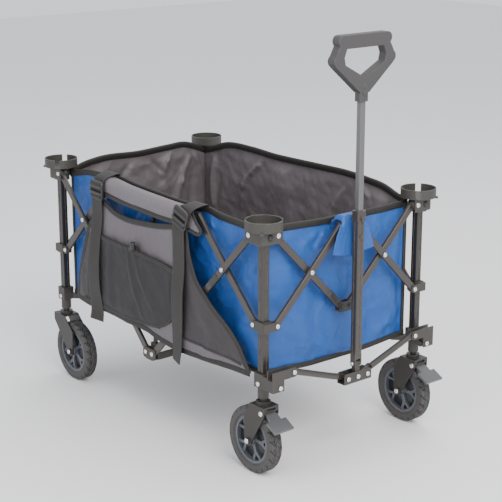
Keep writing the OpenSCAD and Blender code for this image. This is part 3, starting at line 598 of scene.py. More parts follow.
def near_ends(s, half, width):
    """1 in the middle of a wall, falling smoothly to 0 at its ends."""
    t = np.clip((half - np.abs(s)) / width, 0, 1)
    return t * t * (3 - 2 * t)


print("helpers ready")

# %% [markdown]
# ## The tub's walls
# The tub is one bag of coated cloth with a grey lining, hung from the frame's rim. Each wall here is one
# closed sheet, blue outside and grey inside. Its rim follows the bound edge, which dips under the cup trays
# and sags between the bars; its faces carry soft slack and the creases that the fold lines and the corners
# pull into the cloth. Four walls instead of one bag, because the frame folds both ways and each wall has to
# go with its own posts.

# %% Rim and hem of each wall
RIMS = {
    "left": ([-432, -392, -347, -270, -205, -100, 0, 100, 160, 205, 260, 330, 392, 432],
             [614, 618, 628, 632, 638, 631, 627, 624, 625, 630, 622, 619, 616, 614]),
    "right": ([-432, -392, -330, -202, -100, 0, 103, 202, 285, 350, 392, 432],
              [614, 626, 646, 653, 649, 650, 652, 653, 648, 640, 626, 614]),
    "front": ([-242, -205, -138, -78, 0, 56, 99, 153, 205, 242],
              [614, 618, 616, 613, 612, 611, 611, 611, 613, 614]),
    "rear": ([-242, -205, -150, 0, 100, 160, 205, 242], [614, 628, 638, 637, 642, 643, 630, 614]),
}
CREASE = {"left": 1.7, "right": 2.0, "front": 2.6, "rear": 2.2}     # how deep each wall's creases are
HALF = {"left": TUB_X, "right": TUB_X, "front": TUB_Y, "rear": TUB_Y}


def rim_height(side, s):
    """Height of a wall's rim at s along it."""
    return through(s, *RIMS[side])


def hem_height(side, s):
    """The lower edge: level with the floor at the corners, sagging about 9 mm between them."""
    return FLOOR_Z - 3 - 9 * near_ends(s, HALF[side], 170)


def on_wall(side, s, out, z):
    """The place out mm proud of a wall's face, s along it, at height z."""
    s, out, z = np.broadcast_arrays(s, out, z)
    if side in ("left", "right"):
        way = -1 if side == "left" else 1
        return np.stack([s, way * (TUB_Y + out), z], -1)
    way = 1 if side == "front" else -1
    return np.stack([way * (TUB_X + out), s, z], -1)


# %% Creases of each wall: (from s, z, to s, z, width, height), + is outwards
LONG_WALL = [(395, 600, 250, 430, 16, 2.5), (420, 420, 300, 300, 20, 3), (330, 560, 300, 330, 22, -2.5),
             (230, 590, 120, 420, 18, 2.5), (-330, 600, -380, 420, 16, 3), (-400, 560, -330, 300, 22, -3),
             (-30, 600, -60, 380, 20, 2.5), (60, 590, 80, 340, 24, -2.5), (-150, 600, -120, 330, 26, 3)]
OUTSIDE = {
    "left": LONG_WALL,
    "right": LONG_WALL,
    "front": [(-35, 605, -78, 545, 7, 3.5), (-25, 608, -120, 560, 10, 2.5), (40, 606, 92, 560, 8, 3),
              (30, 606, 70, 520, 8, 2.5), (-190, 590, -120, 300, 30, 2.5), (-60, 500, -80, 270, 20, -2.5),
              (20, 470, 60, 280, 18, 2.5), (150, 500, 110, 280, 22, -3), (215, 590, 185, 300, 14, 3),
              (232, 520, 222, 270, 9, -3), (-130, 330, 40, 262, 16, 2), (120, 270, 215, 330, 14, 2.5)],
    "rear": [(-35, 615, -78, 555, 8, 3), (35, 615, 84, 560, 8, 3), (-190, 590, -120, 300, 30, 2.5),
             (-60, 500, -80, 270, 20, -2.5), (20, 470, 60, 280, 18, 2.5), (150, 500, 110, 280, 22, -3),
             (200, 590, 190, 300, 14, 3)],
}
INSIDE = {
    "left": [(300, 600, 220, 420, 20, 5), (-250, 600, -300, 400, 22, 5), (20, 610, -30, 300, 24, 5)],
    "right": [(-138, 650, -166, 606, 6, 6), (-166, 608, -194, 580, 7, 7), (-194, 582, -240, 528, 9, 7),
              (-236, 540, -262, 440, 16, 5), (194, 600, 138, 505, 7, 5), (140, 508, 100, 380, 16, 4),
              (264, 640, 290, 600, 6, 5), (-330, 630, -352, 470, 20, -5), (-372, 640, -386, 450, 9, 6),
              (-60, 640, -20, 380, 34, 5), (40, 650, 90, 420, 28, -5), (330, 630, 360, 480, 20, 4),
              (-300, 560, -200, 350, 26, -4)],
    "front": [(-60, 600, -110, 400, 20, 5), (90, 600, 130, 380, 20, 5)],
    "rear": [(129, 634, 92, 602, 7, 6), (95, 606, 80, 560, 10, 7), (82, 564, 98, 470, 14, 5),
             (176, 600, 145, 527, 9, 7), (146, 530, 120, 450, 13, 7), (193, 630, 222, 552, 7, 7),
             (220, 556, 236, 500, 8, 6), (-40, 630, 0, 480, 26, 5), (-150, 620, -90, 470, 24, 4),
             (30, 620, 44, 500, 14, -5)],
}


# %% Sew the four walls
def wall(side, rides_on, squash_axis, squash_anchor, keep):
    """One wall: a closed sheet whose outer face is slack plus creases and whose lining hangs a little inside."""
    half = HALF[side]
    cols, rows = int(half * 2 / 4.5), 84
    s, v = np.meshgrid(np.linspace(-half, half, cols), np.linspace(0, 1, rows))
    hem, rim = hem_height(side, s), rim_height(side, s)
    z = hem + v * (rim - hem)
    free = near_ends(s, half, 70) * np.clip(v / 0.06, 0, 1) * (0.25 + 0.75 * np.clip((1 - v) / 0.10, 0, 1))
    inside_edge = np.clip((0.955 - v) / 0.06, 0, 1)      # no crease runs under the rim's tape
    seed = {"left": 3, "right": 7, "front": 11, "rear": 17}[side]
    pull = inside_edge * free ** 0.5                     # how much of each crease shows
    out = free * (3.5 + 1.6 * slack(s, z, seed, 1.0)) + CREASE[side] * pull * creases(s, z, OUTSIDE[side])
    out = np.clip(out, -6, 2.5 + 9.5 * near_ends(s, half, 90))
    inner = out - 2.4 - inside_edge * free * (2.2 + np.abs(slack(s, z, seed + 1, 0.8)))
    inner = inner - pull * np.maximum(1.5 * creases(s, z, INSIDE[side]) + 1.0, 0)
    inner = np.minimum(inner, out - 2.2)
    flat = np.stack([(s + half) * MM, (z - FLOOR_Z + 20) * MM], -1)
    piece = sheet_between("tub_wall_" + side, on_wall(side, s, out, z), on_wall(side, s, inner, z), flat,
                          [blue_cloth, lining_cloth])
    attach(piece, rides_on)
    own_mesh(piece)
    print(piece.name, len(piece.data.polygons), "faces, out", np.round([out.min(), out.max()], 1))
    return piece


KEEP_X, KEEP_Y = 0.3764, 0.3985    # how much of the tub's length and width is left when it is folded
FRONT_END = (float(TUB_X) * MM, 0, 0)
FOLDS_WITH = {
    "left": ("left_front_post", (1, 0, 0), FRONT_END, KEEP_X),
    "right": ("right_front_post", (1, 0, 0), FRONT_END, KEEP_X),
    "front": ("front_upper_link", (0, 1, 0), (0, 0, 0), KEEP_Y),
    "rear": ("rear_upper_link", (0, 1, 0), (0, 0, 0), KEEP_Y),
}
walls = {side: wall(side, *how) for side, how in FOLDS_WITH.items()}

# %% [markdown]
# ## The floor
# The real floor is a quilted mat with stiff boards sewn in, so that it stays flat under a load and folds
# along its seams. It is made as three long runs that overlap a little: that is what lets it close up sideways.


# %% Floor mat
SIDE_GAP, END_GAP = 5, 8          # between the mat and the tub's outer faces


def floor_run(name, y0, y1, top, rides_on):
    """A run of padded mat: boards between sewn channels, the height a rounded wave across each board."""
    x, y = np.meshgrid(np.linspace(-TUB_X + END_GAP, TUB_X - END_GAP, 190), np.linspace(y0, y1, 44))
    board = np.abs(np.sin(np.pi * (x + TUB_X) / 215)) ** 0.35
    edge = near_ends(y - (y0 + y1) / 2, (y1 - y0) / 2, 9)
    high = top + 2.2 * board * edge + 0.25 * slack(x, y, 23)
    low = np.full_like(x, top - 2.6)
    flat = np.stack([(x + TUB_X) * MM, (y - y0) * MM], -1)
    piece = sheet_between(name, np.stack([x, y, high], -1), np.stack([x, y, low], -1), flat, [lining_cloth])
    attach(piece, rides_on)
    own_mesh(piece)


floor_run("tub_floor_left", -TUB_Y + SIDE_GAP, -76, FLOOR_Z + 3, "left_front_post")
floor_run("tub_floor_right", 76, TUB_Y - SIDE_GAP, FLOOR_Z + 8.8, "right_front_post")
floor_run("tub_floor_middle", -84, 84, FLOOR_Z + 14.6, "front_upper_link")
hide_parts("fabric_tub")
print("floor runs overlap by 8 mm")

# %% [markdown]
# ## Binding
# Raw edges are closed with a folded dark tape: over the rim, along the hem and down the four corners. A tape
# is a flat ribbon bent round the edge, so it is carried along the edge as a thin U.


# %% Rim, hem and corner tape
def u_profile(wide, deep, thick=1.3):
    """A U that straddles an edge: wide across it and deep down both faces. Out and back, so it stays even."""
    turn = np.linspace(-np.pi / 2, np.pi / 2, 9)

    def arch(half):
        top = np.stack([np.sin(turn) * half, np.cos(turn) * half], 1)
        return np.concatenate([[[-half, -deep]], top, [[half, -deep]]])

    return np.concatenate([arch(wide / 2), arch(wide / 2 - thick)[::-1]])


def edge_tape(name, side, upper, rides_on, axis, anchor, keep):
    """The U of tape along a wall's rim, or along its hem if upper is false."""
    half = HALF[side]
    s = np.linspace(-half + 1, half - 1, int(half / 3))
    z = rim_height(side, s) if upper else hem_height(side, s)
    path = on_wall(side, s, -0.6, z + (0.6 if upper else -0.6))
    outward = {"left": (0, -1, 0), "right": (0, 1, 0), "front": (1, 0, 0), "rear": (-1, 0, 0)}[side]
    flip = np.cross(flow(path)[0], outward)[2] * (1 if upper else -1) < 0
    profile = u_profile(8.0, 13.0 if upper else 11.0)
    if flip:
        profile = profile * [1, -1]
    tape = carried(name, path, np.array(outward, float), profile, tape_cloth)
    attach(tape, rides_on)
    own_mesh(tape)
    return tape


for side, how in FOLDS_WITH.items():
    edge_tape("rim_tape_" + side, side, True, *how)
    edge_tape("hem_tape_" + side, side, False, *how)

for end, x_way in (("front", 1), ("rear", -1)):
    for side, y_way in (("left", -1), ("right", 1)):
        z = np.linspace(FLOOR_Z, 612, 60)
        wave = 0.6 * np.sin(z / 21)
        path = np.stack([x_way * (TUB_X + 0.3 + wave), y_way * (TUB_Y + 0.3 - wave), z], -1)
        bend = np.linspace(0, np.pi / 2, 6)
        roll = np.stack([np.cos(bend) * 6 - 4, np.sin(bend) * 6 - 4], 1)
        shape = np.concatenate([[[2, -12]], roll, [[-12, 2]], [[-12, 0.4]], (roll - 1.6)[::-1], [[0.4, -12]]])
        across = np.tile([float(x_way), 0, 0], (len(z), 1))
        shape = shape * [1, float(np.sign(np.cross([0, 0, 1], [x_way, 0, 0])[1] * y_way))]
        tape = carried(f"corner_tape_{side}_{end}", path, across, shape, tape_cloth)
        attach(tape, f"{side}_{end}_post")
print("bound: four rims, four hems, four corners")

# %% [markdown]
# ## The side panel and its pouch
# A grey cloth panel hangs outside the scissor bars on one long side. It starts as a padded flap over the rim,
# leaves a gap where the blue wall shows, and then runs down to the hem with slanting ends. A mesh pouch is
# sewn over it. The outline isn't a rectangle, so its grid is blended from its four edge curves: every inside
# point is the mean of the points across from it, which keeps the grid even right up to the slanted edges.


# %% Panel outline
def patch(bottom, top, left, right, cols, rows):
    """Coons patch: linear blends of bottom and top and of left and right, less the blend of the corners."""
    u, v = np.meshgrid(np.linspace(0, 1, cols), np.linspace(0, 1, rows))
    low, high = smooth_path(bottom, cols)[None], smooth_path(top, cols)[None]
    near, far = smooth_path(left, rows)[:, None], smooth_path(right, rows)[:, None]
    u, v = u[..., None], v[..., None]
    corners = ((1 - u) * (1 - v) * low[:, :1] + u * (1 - v) * low[:, -1:]
               + (1 - u) * v * high[:, :1] + u * v * high[:, -1:])
    return (1 - v) * low + v * high + (1 - u) * near + u * far - corners


PANEL_Y = -TUB_Y - 45.5          # the panel hangs this far out, clear of the bars' rivets
TOP_EDGE = [(-218, 577), (-193, 572), (-157, 557), (-99, 547), (-13, 551), (55, 558), (122, 569), (176, 573)]
BOTTOM_EDGE = [(-347, 270), (-277, 265), (-184, 267), (-94, 264), (0, 262), (66, 251), (178, 246), (290, 247),
               (404, 252)]
LEFT_EDGE = [(-347, 270), (-330, 330), (-309, 391), (-286, 454), (-250, 520), (-218, 577)]
RIGHT_EDGE = [(404, 252), (366, 308), (327, 354), (261, 410), (219, 446), (196, 490), (184, 535), (176, 573)]


def panel_out(x, z):
    """How far the panel stands off its hanging plane: it leans in past the lower front of the bars, where
    nothing holds it out, and is slack between the straps."""
    past_bar = ((x - 425) * math.sin(BAR_ANGLE) + (612 - z) * math.cos(BAR_ANGLE))
    t = np.clip((past_bar - 30) / 150, 0, 1)
    lean = -20 * t * t * (3 - 2 * t)
    behind = np.clip((-x - 250) / 100, 0, 1)
    return lean - 6 * behind * behind


FOLDS = [(-60, 545, -95, 470, 9, 2.5), (60, 552, 20, 490, 12, -2), (120, 560, 60, 490, 10, 2.5),
         (-150, 550, -140, 470, 10, -2), (200, 430, 260, 330, 18, 5), (230, 400, 300, 300, 12, 4),
         (180, 380, 240, 270, 14, -4), (300, 330, 230, 262, 16, 4), (-300, 400, -320, 290, 12, 3),
         (360, 290, 250, 262, 10, 3), (-250, 470, -280, 300, 14, 3)]
place = patch(BOTTOM_EDGE, TOP_EDGE, LEFT_EDGE, RIGHT_EDGE, 150, 84)
x, z = place[..., 0], place[..., 1]
off = panel_out(x, z) + slack(x, z, 31, 0.8) + creases(x, z, FOLDS)
off = np.maximum(off, panel_out(x, z) - 1.0)
front = np.stack([x, PANEL_Y - 1.6 - off, z], -1)
LOWER_SEAM = ([150, 200, 260, 320, 400], [284, 281, 276, 271, 264])


def under_mesh(x, z):
    """Where the panel is backed mesh: in front of the front strap down to the lower seam, and behind the rear
    one."""
    return ((x > 158) & (z > through(x, *LOWER_SEAM))) | ((x < -222) & (z < 478))


panel = sheet_between("side_panel", front, front + [0, 1.3, 0], place * MM, [panel_cloth])
panel.data.materials.append(backed_mesh)
centres = np.array([face.center for face in panel.data.polygons]) / MM
panel.data.polygons.foreach_set("material_index", under_mesh(centres[:, 0], centres[:, 2]).astype(np.int32))
print("panel", np.round(front.min((0, 1))), np.round(front.max((0, 1))))


# %% Panel's binding
def bind(name, curve, y_of, count, width=15.0, thick=3.6):
    """Tape carried along an edge curve (x, z), flat against the cloth and a little wider than its hem."""
    path = smooth_path(curve, count)
    way = flow(path)
    across = np.stack([-way[:, 1], np.zeros(count), way[:, 0]], 1)
    spot = np.stack([path[:, 0], y_of(path[:, 0], path[:, 1]), path[:, 1]], 1)
    return carried(name, spot, across, tape_profile(width, thick, -width / 2), tape_cloth)


def panel_face(x, z):
    """The Y of the panel's outer face."""
    return PANEL_Y - 1.0 - panel_out(x, z) - np.maximum(slack(x, z, 31, 0.8) + creases(x, z, FOLDS), -1.0)


trims = [bind("panel_top_tape", TOP_EDGE, panel_face, 120),
         bind("panel_hem_tape", BOTTOM_EDGE, panel_face, 200),
         bind("panel_rear_tape", LEFT_EDGE, panel_face, 120, 12),
         bind("panel_front_tape", RIGHT_EDGE, panel_face, 140)]

seam_x = np.linspace(166, 388, 40)
seam = [(a, float(through(a, *LOWER_SEAM))) for a in seam_x[::6]]
trims.append(bind("panel_lower_seam", seam, lambda x, z: panel_face(x, z) - 0.4, 90, 7, 2.4))
print("bound the panel's four edges and its lower seam")

# %% Mesh pouch
POUCH_TOP = [(-250, 480), (-201, 476), (-126, 473), (-54, 472), (30, 467), (97, 459), (165, 448)]
POUCH_BOTTOM = [(-300, 276), (-200, 276), (-100, 276), (-20, 279), (60, 288)]
POUCH_LEFT = [(-300, 276), (-290, 340), (-270, 420), (-250, 480)]
POUCH_RIGHT = [(60, 288), (100, 310), (135, 350), (158, 400), (165, 448)]
POUCH_FOLDS = [(-70, 470, -10, 300, 7, 3.5), (-40, 468, 40, 330, 7, 3), (-150, 470, -160, 290, 16, 4),
               (60, 460, 70, 320, 14, -3), (-230, 460, -270, 290, 12, 3), (110, 440, 120, 340, 10, 3)]
place = patch(POUCH_BOTTOM, POUCH_TOP, POUCH_LEFT, POUCH_RIGHT, 120, 60)
u, v = np.meshgrid(np.linspace(0, 1, 120), np.linspace(0, 1, 60))
x, z = place[..., 0], place[..., 1]
belly = 7.5 * (np.sin(np.pi * np.clip(u, 0, 1)) ** 0.5) * (1 - (1 - np.clip(v * 5, 0, 1)) ** 2)


def pouch_face(x, z, swell):
    """The Y of the pouch's outer face where it stands swell mm off the panel."""
    return np.minimum(panel_face(x, z) - 2.6 - swell * (1 + 0.10 * slack(x, z, 41)) - np.maximum(
        creases(x, z, POUCH_FOLDS), -1) * swell / 7.5, PANEL_Y - 3.2 - panel_out(x, z))


front = np.stack([x, pouch_face(x, z, belly), z], -1)
pouch = sheet_between("mesh_pouch", front, front + [0, 0.7, 0], place * MM, [mesh_cloth])
trims.append(bind("pouch_top_tape", POUCH_TOP, lambda x, z: pouch_face(x, z, 7.5 * np.sin(
    np.pi * np.clip((x + 250) / 415, 0, 1)) ** 0.5) - 0.2, 120, 13))
trims.append(bind("pouch_hem_tape", POUCH_BOTTOM, lambda x, z: pouch_face(x, z, 0.0) - 0.3, 100, 13))
trims.append(bind("pouch_front_tape", POUCH_RIGHT, lambda x, z: pouch_face(x, z, 0.0) - 0.3, 60, 9))
print("pouch bulges", round(float(belly.max()), 1), "mm")



# %% [markdown]
# ## The flap over the rim
# The panel's top is a padded flap: it is sewn inside the rim, folds over the bars' top ends and hangs about
# 45 mm down outside. Seen from the end it is one smooth curve, so the surface is that curve repeated along
# the wagon, with the rim's sag added.

# %% Top flap and end gusset
FLAP_SECTION = smooth_path([(-TUB_Y - 3.4, -15), (-TUB_Y - 4.4, -7), (-TUB_Y - 9, -1.5), (-TUB_Y - 20, 1.5),
                            (-TUB_Y - 35, 0), (-TUB_Y - 44, -8), (-TUB_Y - 46.5, -23), (-TUB_Y - 46, -42)],
                            44)


def flap(name, x0, x1, material, seed, drop=None, puff=2.2):
    """One of the top flap's padded sheets."""
    cols = int((x1 - x0) / 4)
    x, k = np.meshgrid(np.linspace(x0, x1, cols), np.arange(44))
    base = rim_height("left", x)
    z = base + FLAP_SECTION[:, 1][:, None]
    if drop is not None:
        z = base + FLAP_SECTION[:, 1][:, None] * np.where(k > 25, drop(x), 1.0)
    y = FLAP_SECTION[:, 0][:, None] + 0.6 * slack(x, z * 2, seed)
    ends = near_ends(x - (x0 + x1) / 2, (x1 - x0) / 2, 25)
    y = y - puff * ends * np.exp(-((k - 33) / 6.0) ** 2)
    face = np.stack([x, y, z], -1)
    way = np.gradient(FLAP_SECTION, axis=0)
    way = way / np.linalg.norm(way, axis=1, keepdims=True)
    inward = np.stack([np.zeros(44), -way[:, 1], way[:, 0]], 1)
    inward = inward * np.sign(np.where(inward[:, 2:3] > 0, -1, 1))
    inward[FLAP_SECTION[:, 0] < -TUB_Y - 43] = (0, 1, 0)
    inward[:8] = (0, -1, 0)
    run = np.concatenate([[0], np.cumsum(np.linalg.norm(np.diff(FLAP_SECTION, axis=0), axis=1))])
    flat = np.stack([x * MM, np.broadcast_to(run[:, None], x.shape) * MM], -1)
    return sheet_between(name, face, face + inward[:, None] * 2.2, flat, [material])


band = flap("top_flap", -196, 158, light_cloth, 51)
band_hem_x = np.linspace(-196, 158, 100)
band_hem = carried("top_flap_tape", np.stack([band_hem_x,
                                              np.full(100, -TUB_Y - 46.6) - 0.35 * np.sin(band_hem_x / 25),
                                              rim_height("left", band_hem_x) - 41], 1),
                   np.array([0, 0, 1.0]), tape_profile(12, 4.2, -6), tape_cloth)

GUSSET = patch([(156, 576), (190, 574), (229, 571)], [(164, 628), (178, 627), (194, 626)],
               [(156, 576), (160, 604), (164, 628)], [(229, 571), (212, 599), (194, 626)], 26, 26)
gusset_front = np.stack([GUSSET[..., 0], -TUB_Y - 43.0 + 0.25 * (GUSSET[..., 0] - 190) * 0.4
                         + 22 * np.clip((GUSSET[..., 1] - 618) / 18, 0, 1) ** 2, GUSSET[..., 1]], -1)
gusset = sheet_between("flap_end_gusset", gusset_front, gusset_front + [0, 1.4, 0], GUSSET * MM,
                       [light_cloth])
gusset_tape = bind("flap_end_tape", [(156, 576), (190, 574), (226, 571), (230, 574), (214, 600), (196, 627)],
                   lambda x, z: -TUB_Y - 44.2 + 0.1 * (x - 190) + 22 * np.clip((z - 618) / 18, 0, 1) ** 2,
                   90, 9, 3.2)

# %% [markdown]
# ## Straps and buckles
# Two webbing straps loop over the bars' top ends, pass through a ladder buckle, run down the panel and end
# in loose tails below the hem. They are flat ribbons carried along a smooth path. A simulation would be no
# better here: a strap this stiff hangs straight and only bows out over the pouch.


# %% Straps
def strap(name, course, width=50.0, twist=0.0):
    """A webbing strap that hangs down the side."""
    path = smooth_path(course, 150)
    lean = np.gradient(path[:, 0]) / np.maximum(np.linalg.norm(np.gradient(path, axis=0), axis=1), 1e-6)
    across = np.stack([np.ones(150), twist * np.linspace(0, 1, 150) ** 6, np.zeros(150)], 1)
    return carried(name, path, across, tape_profile(width, 2.2, -width / 2), webbing), path


OUT = -TUB_Y - 49.5
rear_strap, rear_path = strap("rear_strap", [
    (-207, -TUB_Y + 9, 588), (-207, -TUB_Y + 8.5, 622), (-207, -TUB_Y - 1, 646), (-208, -TUB_Y - 24, 645),
    (-210, OUT + 4, 636), (-212, OUT - 2.5, 613), (-215, OUT - 4.5, 585), (-219, OUT - 2.5, 530),
    (-224, OUT - 8, 470),
    (-226, OUT - 14, 400), (-228, OUT - 13, 330), (-230, OUT - 6, 282), (-231, OUT - 3.5, 255),
    (-232, OUT - 6, 230)],
    twist=0.25)
front_strap, front_path = strap("front_strap", [
    (190, -TUB_Y + 9, 578), (190, -TUB_Y + 8.5, 611), (189, -TUB_Y - 1, 636), (187, -TUB_Y - 24, 636),
    (183, OUT + 4, 628), (172, OUT - 2.5, 608), (158, OUT - 4.5, 580), (153, OUT - 2.5, 530),
    (154, OUT - 4, 470),
    (152, OUT - 9, 400), (147, OUT - 6, 330), (142, OUT - 2.5, 282), (140, OUT - 1.5, 250),
    (138, OUT - 4, 213)],
    twist=-0.3)
print("straps", [round(float(np.linalg.norm(np.diff(p, axis=0), axis=1).sum())) for p in (rear_path,
                                                                                          front_path)], "mm")


# %% Ladder buckles
def rounded_loop(wide, high, corner, count=64):
    """Rounded rectangle: a circle's points pushed out to the corner centres."""
    turn = np.linspace(0, 2 * np.pi, count, endpoint=False)
    return np.stack([np.cos(turn) * corner + np.sign(np.cos(turn)) * (wide / 2 - corner),
                     np.sin(turn) * corner + np.sign(np.sin(turn)) * (high / 2 - corner)], 1)


def soft_bar(wide, thick, count=16):
    """Cross-section of a moulded bar: a squared oval."""
    turn = np.linspace(0, 2 * np.pi, count, endpoint=False)
    return np.stack([np.sign(np.cos(turn)) * np.abs(np.cos(turn)) ** 0.6 * wide / 2,
                     np.sign(np.sin(turn)) * np.abs(np.sin(turn)) ** 0.6 * thick / 2], 1)


def buckle(name, x, z, y, tilt):
    """A strap's ladder buckle: frame, bars and the web through it."""
    c, s = math.cos(tilt), math.sin(tilt)

    def stand(flat):
        return np.stack([x + flat[:, 0] * c - flat[:, 1] * s, np.full(len(flat), y),
                         z + flat[:, 0] * s + flat[:, 1] * c], 1)

    ring = stand(rounded_loop(53, 46, 7))
    outward = stand(rounded_loop(53, 46, 7) * 1.2) - ring
    pieces = [carried(name, ring, outward, soft_bar(6.5, 7.5), black_plastic, closed=True)]
    for k, (high, deep) in enumerate(((10, -2.5), (-8, -3.0))):
        line = stand(np.stack([np.linspace(-27, 27, 12), np.full(12, high)], 1)) + [0, deep, 0]
        up = np.array([-s, 0, c])
        pieces.append(carried(f"{name}_bar_{k + 1}", line, up, soft_bar(8.5, 6.0), black_plastic))
    tail = stand(np.stack([np.zeros(24), np.linspace(-20, 26, 24)], 1))
    tail[:, 1] += -2.0 - 2.4 * np.cos(np.linspace(0, 3 * np.pi, 24))
    pieces.append(carried(name + "_web", tail, np.array([c, 0, s]), tape_profile(46, 2.0, -23), webbing))
    return pieces


buckles = (buckle("rear_buckle", -212, 606, OUT - 6.2, -0.05) + buckle("front_buckle", 168, 604, OUT - 6.2,
                                                                       -0.33))

# %% Toggle on the pouch
turn = np.linspace(0, 2 * np.pi, 24, endpoint=False)
knob_z = np.linspace(0, 1, 10)
barrel = carried("pouch_toggle", np.stack([-34 + 0 * knob_z, PANEL_Y - 19 + 0 * knob_z, 478 + 20 * knob_z],
                                          1),
                 np.array([1.0, 0, 0]), np.stack([np.cos(turn) * 8, np.sin(turn) * 6.5], 1), black_plastic)
tab = carried("pouch_pull_tab", smooth_path([(-62, PANEL_Y - 14, 474), (-50, PANEL_Y - 15.5, 476),
                                             (-38, PANEL_Y - 14, 482),
                                             (-24, PANEL_Y - 13, 484)], 20),
              np.array([0, 0, 1.0]), tape_profile(13, 2.0, -6.5), webbing)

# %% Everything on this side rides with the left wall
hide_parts("pocket_panel")
for piece in [panel, pouch, band, band_hem, gusset, gusset_tape, rear_strap, front_strap, barrel, tab,
              *trims, *buckles]:
    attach(piece, "left_front_post")
    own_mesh(piece)
print("side panel done")

# %% [markdown]
# ## Centre flaps
# At each end a blue flap is sewn to the rim, goes over the upper link and hangs down in front of it, wider at
# its lower edge. The pull on it makes the radiating creases of the end walls.


# %% Centre flaps
def centre_flap(end):
    """The flap over an upper link in the middle of an end."""
    way = 1 if end == "front" else -1
    section = smooth_path([(TUB_X + 3.5, -22), (TUB_X + 5, -8), (TUB_X + 12, 6), (TUB_X + 27, 15.5),
                           (TUB_X + 42, 13.5),
                           (TUB_X + 50.5, 1), (TUB_X + 52, -30), (TUB_X + 51.5, -82)], 60)
    rim = 611 if end == "front" else 614
    u, k = np.meshgrid(np.linspace(-1, 1, 46), np.arange(60))
    down = np.clip((k - 26) / 33, 0, 1)
    y = u * (32 + 36 * down ** 0.5) + 3 * down
    past_link = np.clip((np.abs(y) - 24) / 8, 0, 1) ** 2 * (1 - down)
    z = rim + section[:, 1][:, None] - 9 * down * (1 - np.abs(u)) + 5 * down * np.abs(u) - 11 * past_link * (k > 8)
    swing = 2.2 * np.sin(u * 7.5 + 0.8) * down + 0.8 * slack(y * 2, z * 2, 61)
    x = section[:, 0][:, None] + np.clip(swing, -1.0, 4.0) * (k > 22)
    face = np.stack([way * x, y, z], -1)
    step = np.gradient(section, axis=0)
    step = step / np.linalg.norm(step, axis=1, keepdims=True)
    under = np.stack([way * step[:, 1], np.zeros(60), -step[:, 0]], 1)
    under = under * np.where((under[:, 0] * way > 0)[:, None] & (np.arange(60) > 25)[:, None], -1, 1)
    run = np.concatenate([[0], np.cumsum(np.linalg.norm(np.diff(section, axis=0), axis=1))])
    flat = np.stack([y * MM, np.broadcast_to(run[:, None], y.shape) * MM], -1)
    piece = sheet_between(f"{end}_centre_flap", face, face + under[:, None] * 1.4, flat, [blue_cloth])
    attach(piece, f"{end}_upper_link")
    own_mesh(piece)
    return piece


flaps = [centre_flap("front"), centre_flap("rear")]
print("centre flaps", [len(f.data.polygons) for f in flaps])

# %% [markdown]
# ## Rivets and small plastic parts
# Every pivot is a bright domed rivet. Its shank and seat are in the engineering model; the dome that catches
# the light is a small lathe-turned cap set over each seat. The caps of each group are one piece.


# %% Domed rivet caps
def domes(name, spots, body, radius=6.4, height=2.6, material=None):
    """Caps at spots: rows of (x, y, z, axis x, y, z) in mm. A cap's outline is a flat rim and a sine dome."""
    spots = np.asarray(spots, float)
    turn = np.linspace(0, 2 * np.pi, 20, endpoint=False)
    ring_r = radius * np.array([1.0, 1.0, 0.94, 0.80, 0.60, 0.36, 0.12])
    ring_h = np.array([-1.9, 0.25, 0.8, 1.5, 2.1, 2.45, 2.6]) * height / 2.6
    axis = spots[:, 3:] / np.linalg.norm(spots[:, 3:], axis=1, keepdims=True)
    side = np.where(np.abs(axis[:, 2:3]) > 0.5, [[1.0, 0, 0]], [[0, 0, 1.0]])
    other = np.cross(axis, side)
    points = (spots[:, None, None, :3]
              + ring_r[None, :, None, None] * (np.cos(turn)[None, None, :, None] * side[:, None, None]
                                               + np.sin(turn)[None, None, :, None] * other[:, None, None])
              + ring_h[None, :, None, None] * axis[:, None, None])
    quads = []
    for k in range(len(spots)):
        ring = np.arange(7)[:, None] * 20 + np.arange(20)[None] + k * 140
        nxt = np.roll(ring, -1, 1)
        quads.append(np.stack([ring[:-1], nxt[:-1], nxt[1:], ring[1:]], -1).reshape(-1, 4))
        for row in (ring[0], ring[-1]):
            quads.append(np.stack([row[1:-2:2], row[2:-1:2], row[3::2], np.full(9, row[0])], -1))
    faces = np.concatenate(quads)
    cap = finish_mesh(name, points.reshape(-1, 3), faces, np.zeros((len(faces), 4, 2)), np.zeros(len(faces)),
                      [material or rivet_steel])
    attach(cap, body)
    return cap


cos_bar, sin_bar = math.cos(BAR_ANGLE), math.sin(BAR_ANGLE)
half_bar = SHORT_BAR / 2
for end, sx in (("front", 1), ("rear", -1)):
    for side, sy in (("left", -1), ("right", 1)):
        corner = f"{side}_{end}"
        pin_x, pin_y = sx * (POST_X - PIN_REACH), sy * (POST_Y - PIN_REACH)
        domes(f"bracket_rivets_{corner}", [(sx * (POST_X + 26.0), pin_y, PIN_Z, sx, 0, 0),
                                           (pin_x, sy * (POST_Y + 27.4), PIN_Z, 0, sy, 0)], f"{corner}_post",
                                           6.8)
        domes(f"slider_rivets_{corner}", [(sx * (POST_X + 24.7), pin_y, SLIDER_Z, sx, 0, 0),
                                          (pin_x, sy * (POST_Y + 14.2), SLIDER_Z, 0, sy, 0)],
                                          f"{corner}_slider")
        domes(f"side_crossing_rivet_{corner}",
              [(sx * (POST_X - PIN_REACH - half_bar * cos_bar), sy * (POST_Y + 22),
                                                 PIN_Z - half_bar * sin_bar, 0, sy, 0)],
              body_of_node[f"side_long_bar_{corner}"])
        domes(f"end_crossing_rivet_{end}_{side}",
              [(sx * (POST_X + 22.2), sy * (POST_Y - PIN_REACH - half_bar * cos_bar),
                                                    PIN_Z - half_bar * sin_bar, sx, 0, 0)],
              body_of_node[f"{end}_long_bar_{side}"])
    domes(f"{end}_lower_link_rivets", [(sx * (POST_X + 14.2), y, SLIDER_Z, sx, 0, 0) for y in (-12, 12)],
          f"{end}_lower_link", 5.0, 2.0, black_plastic)
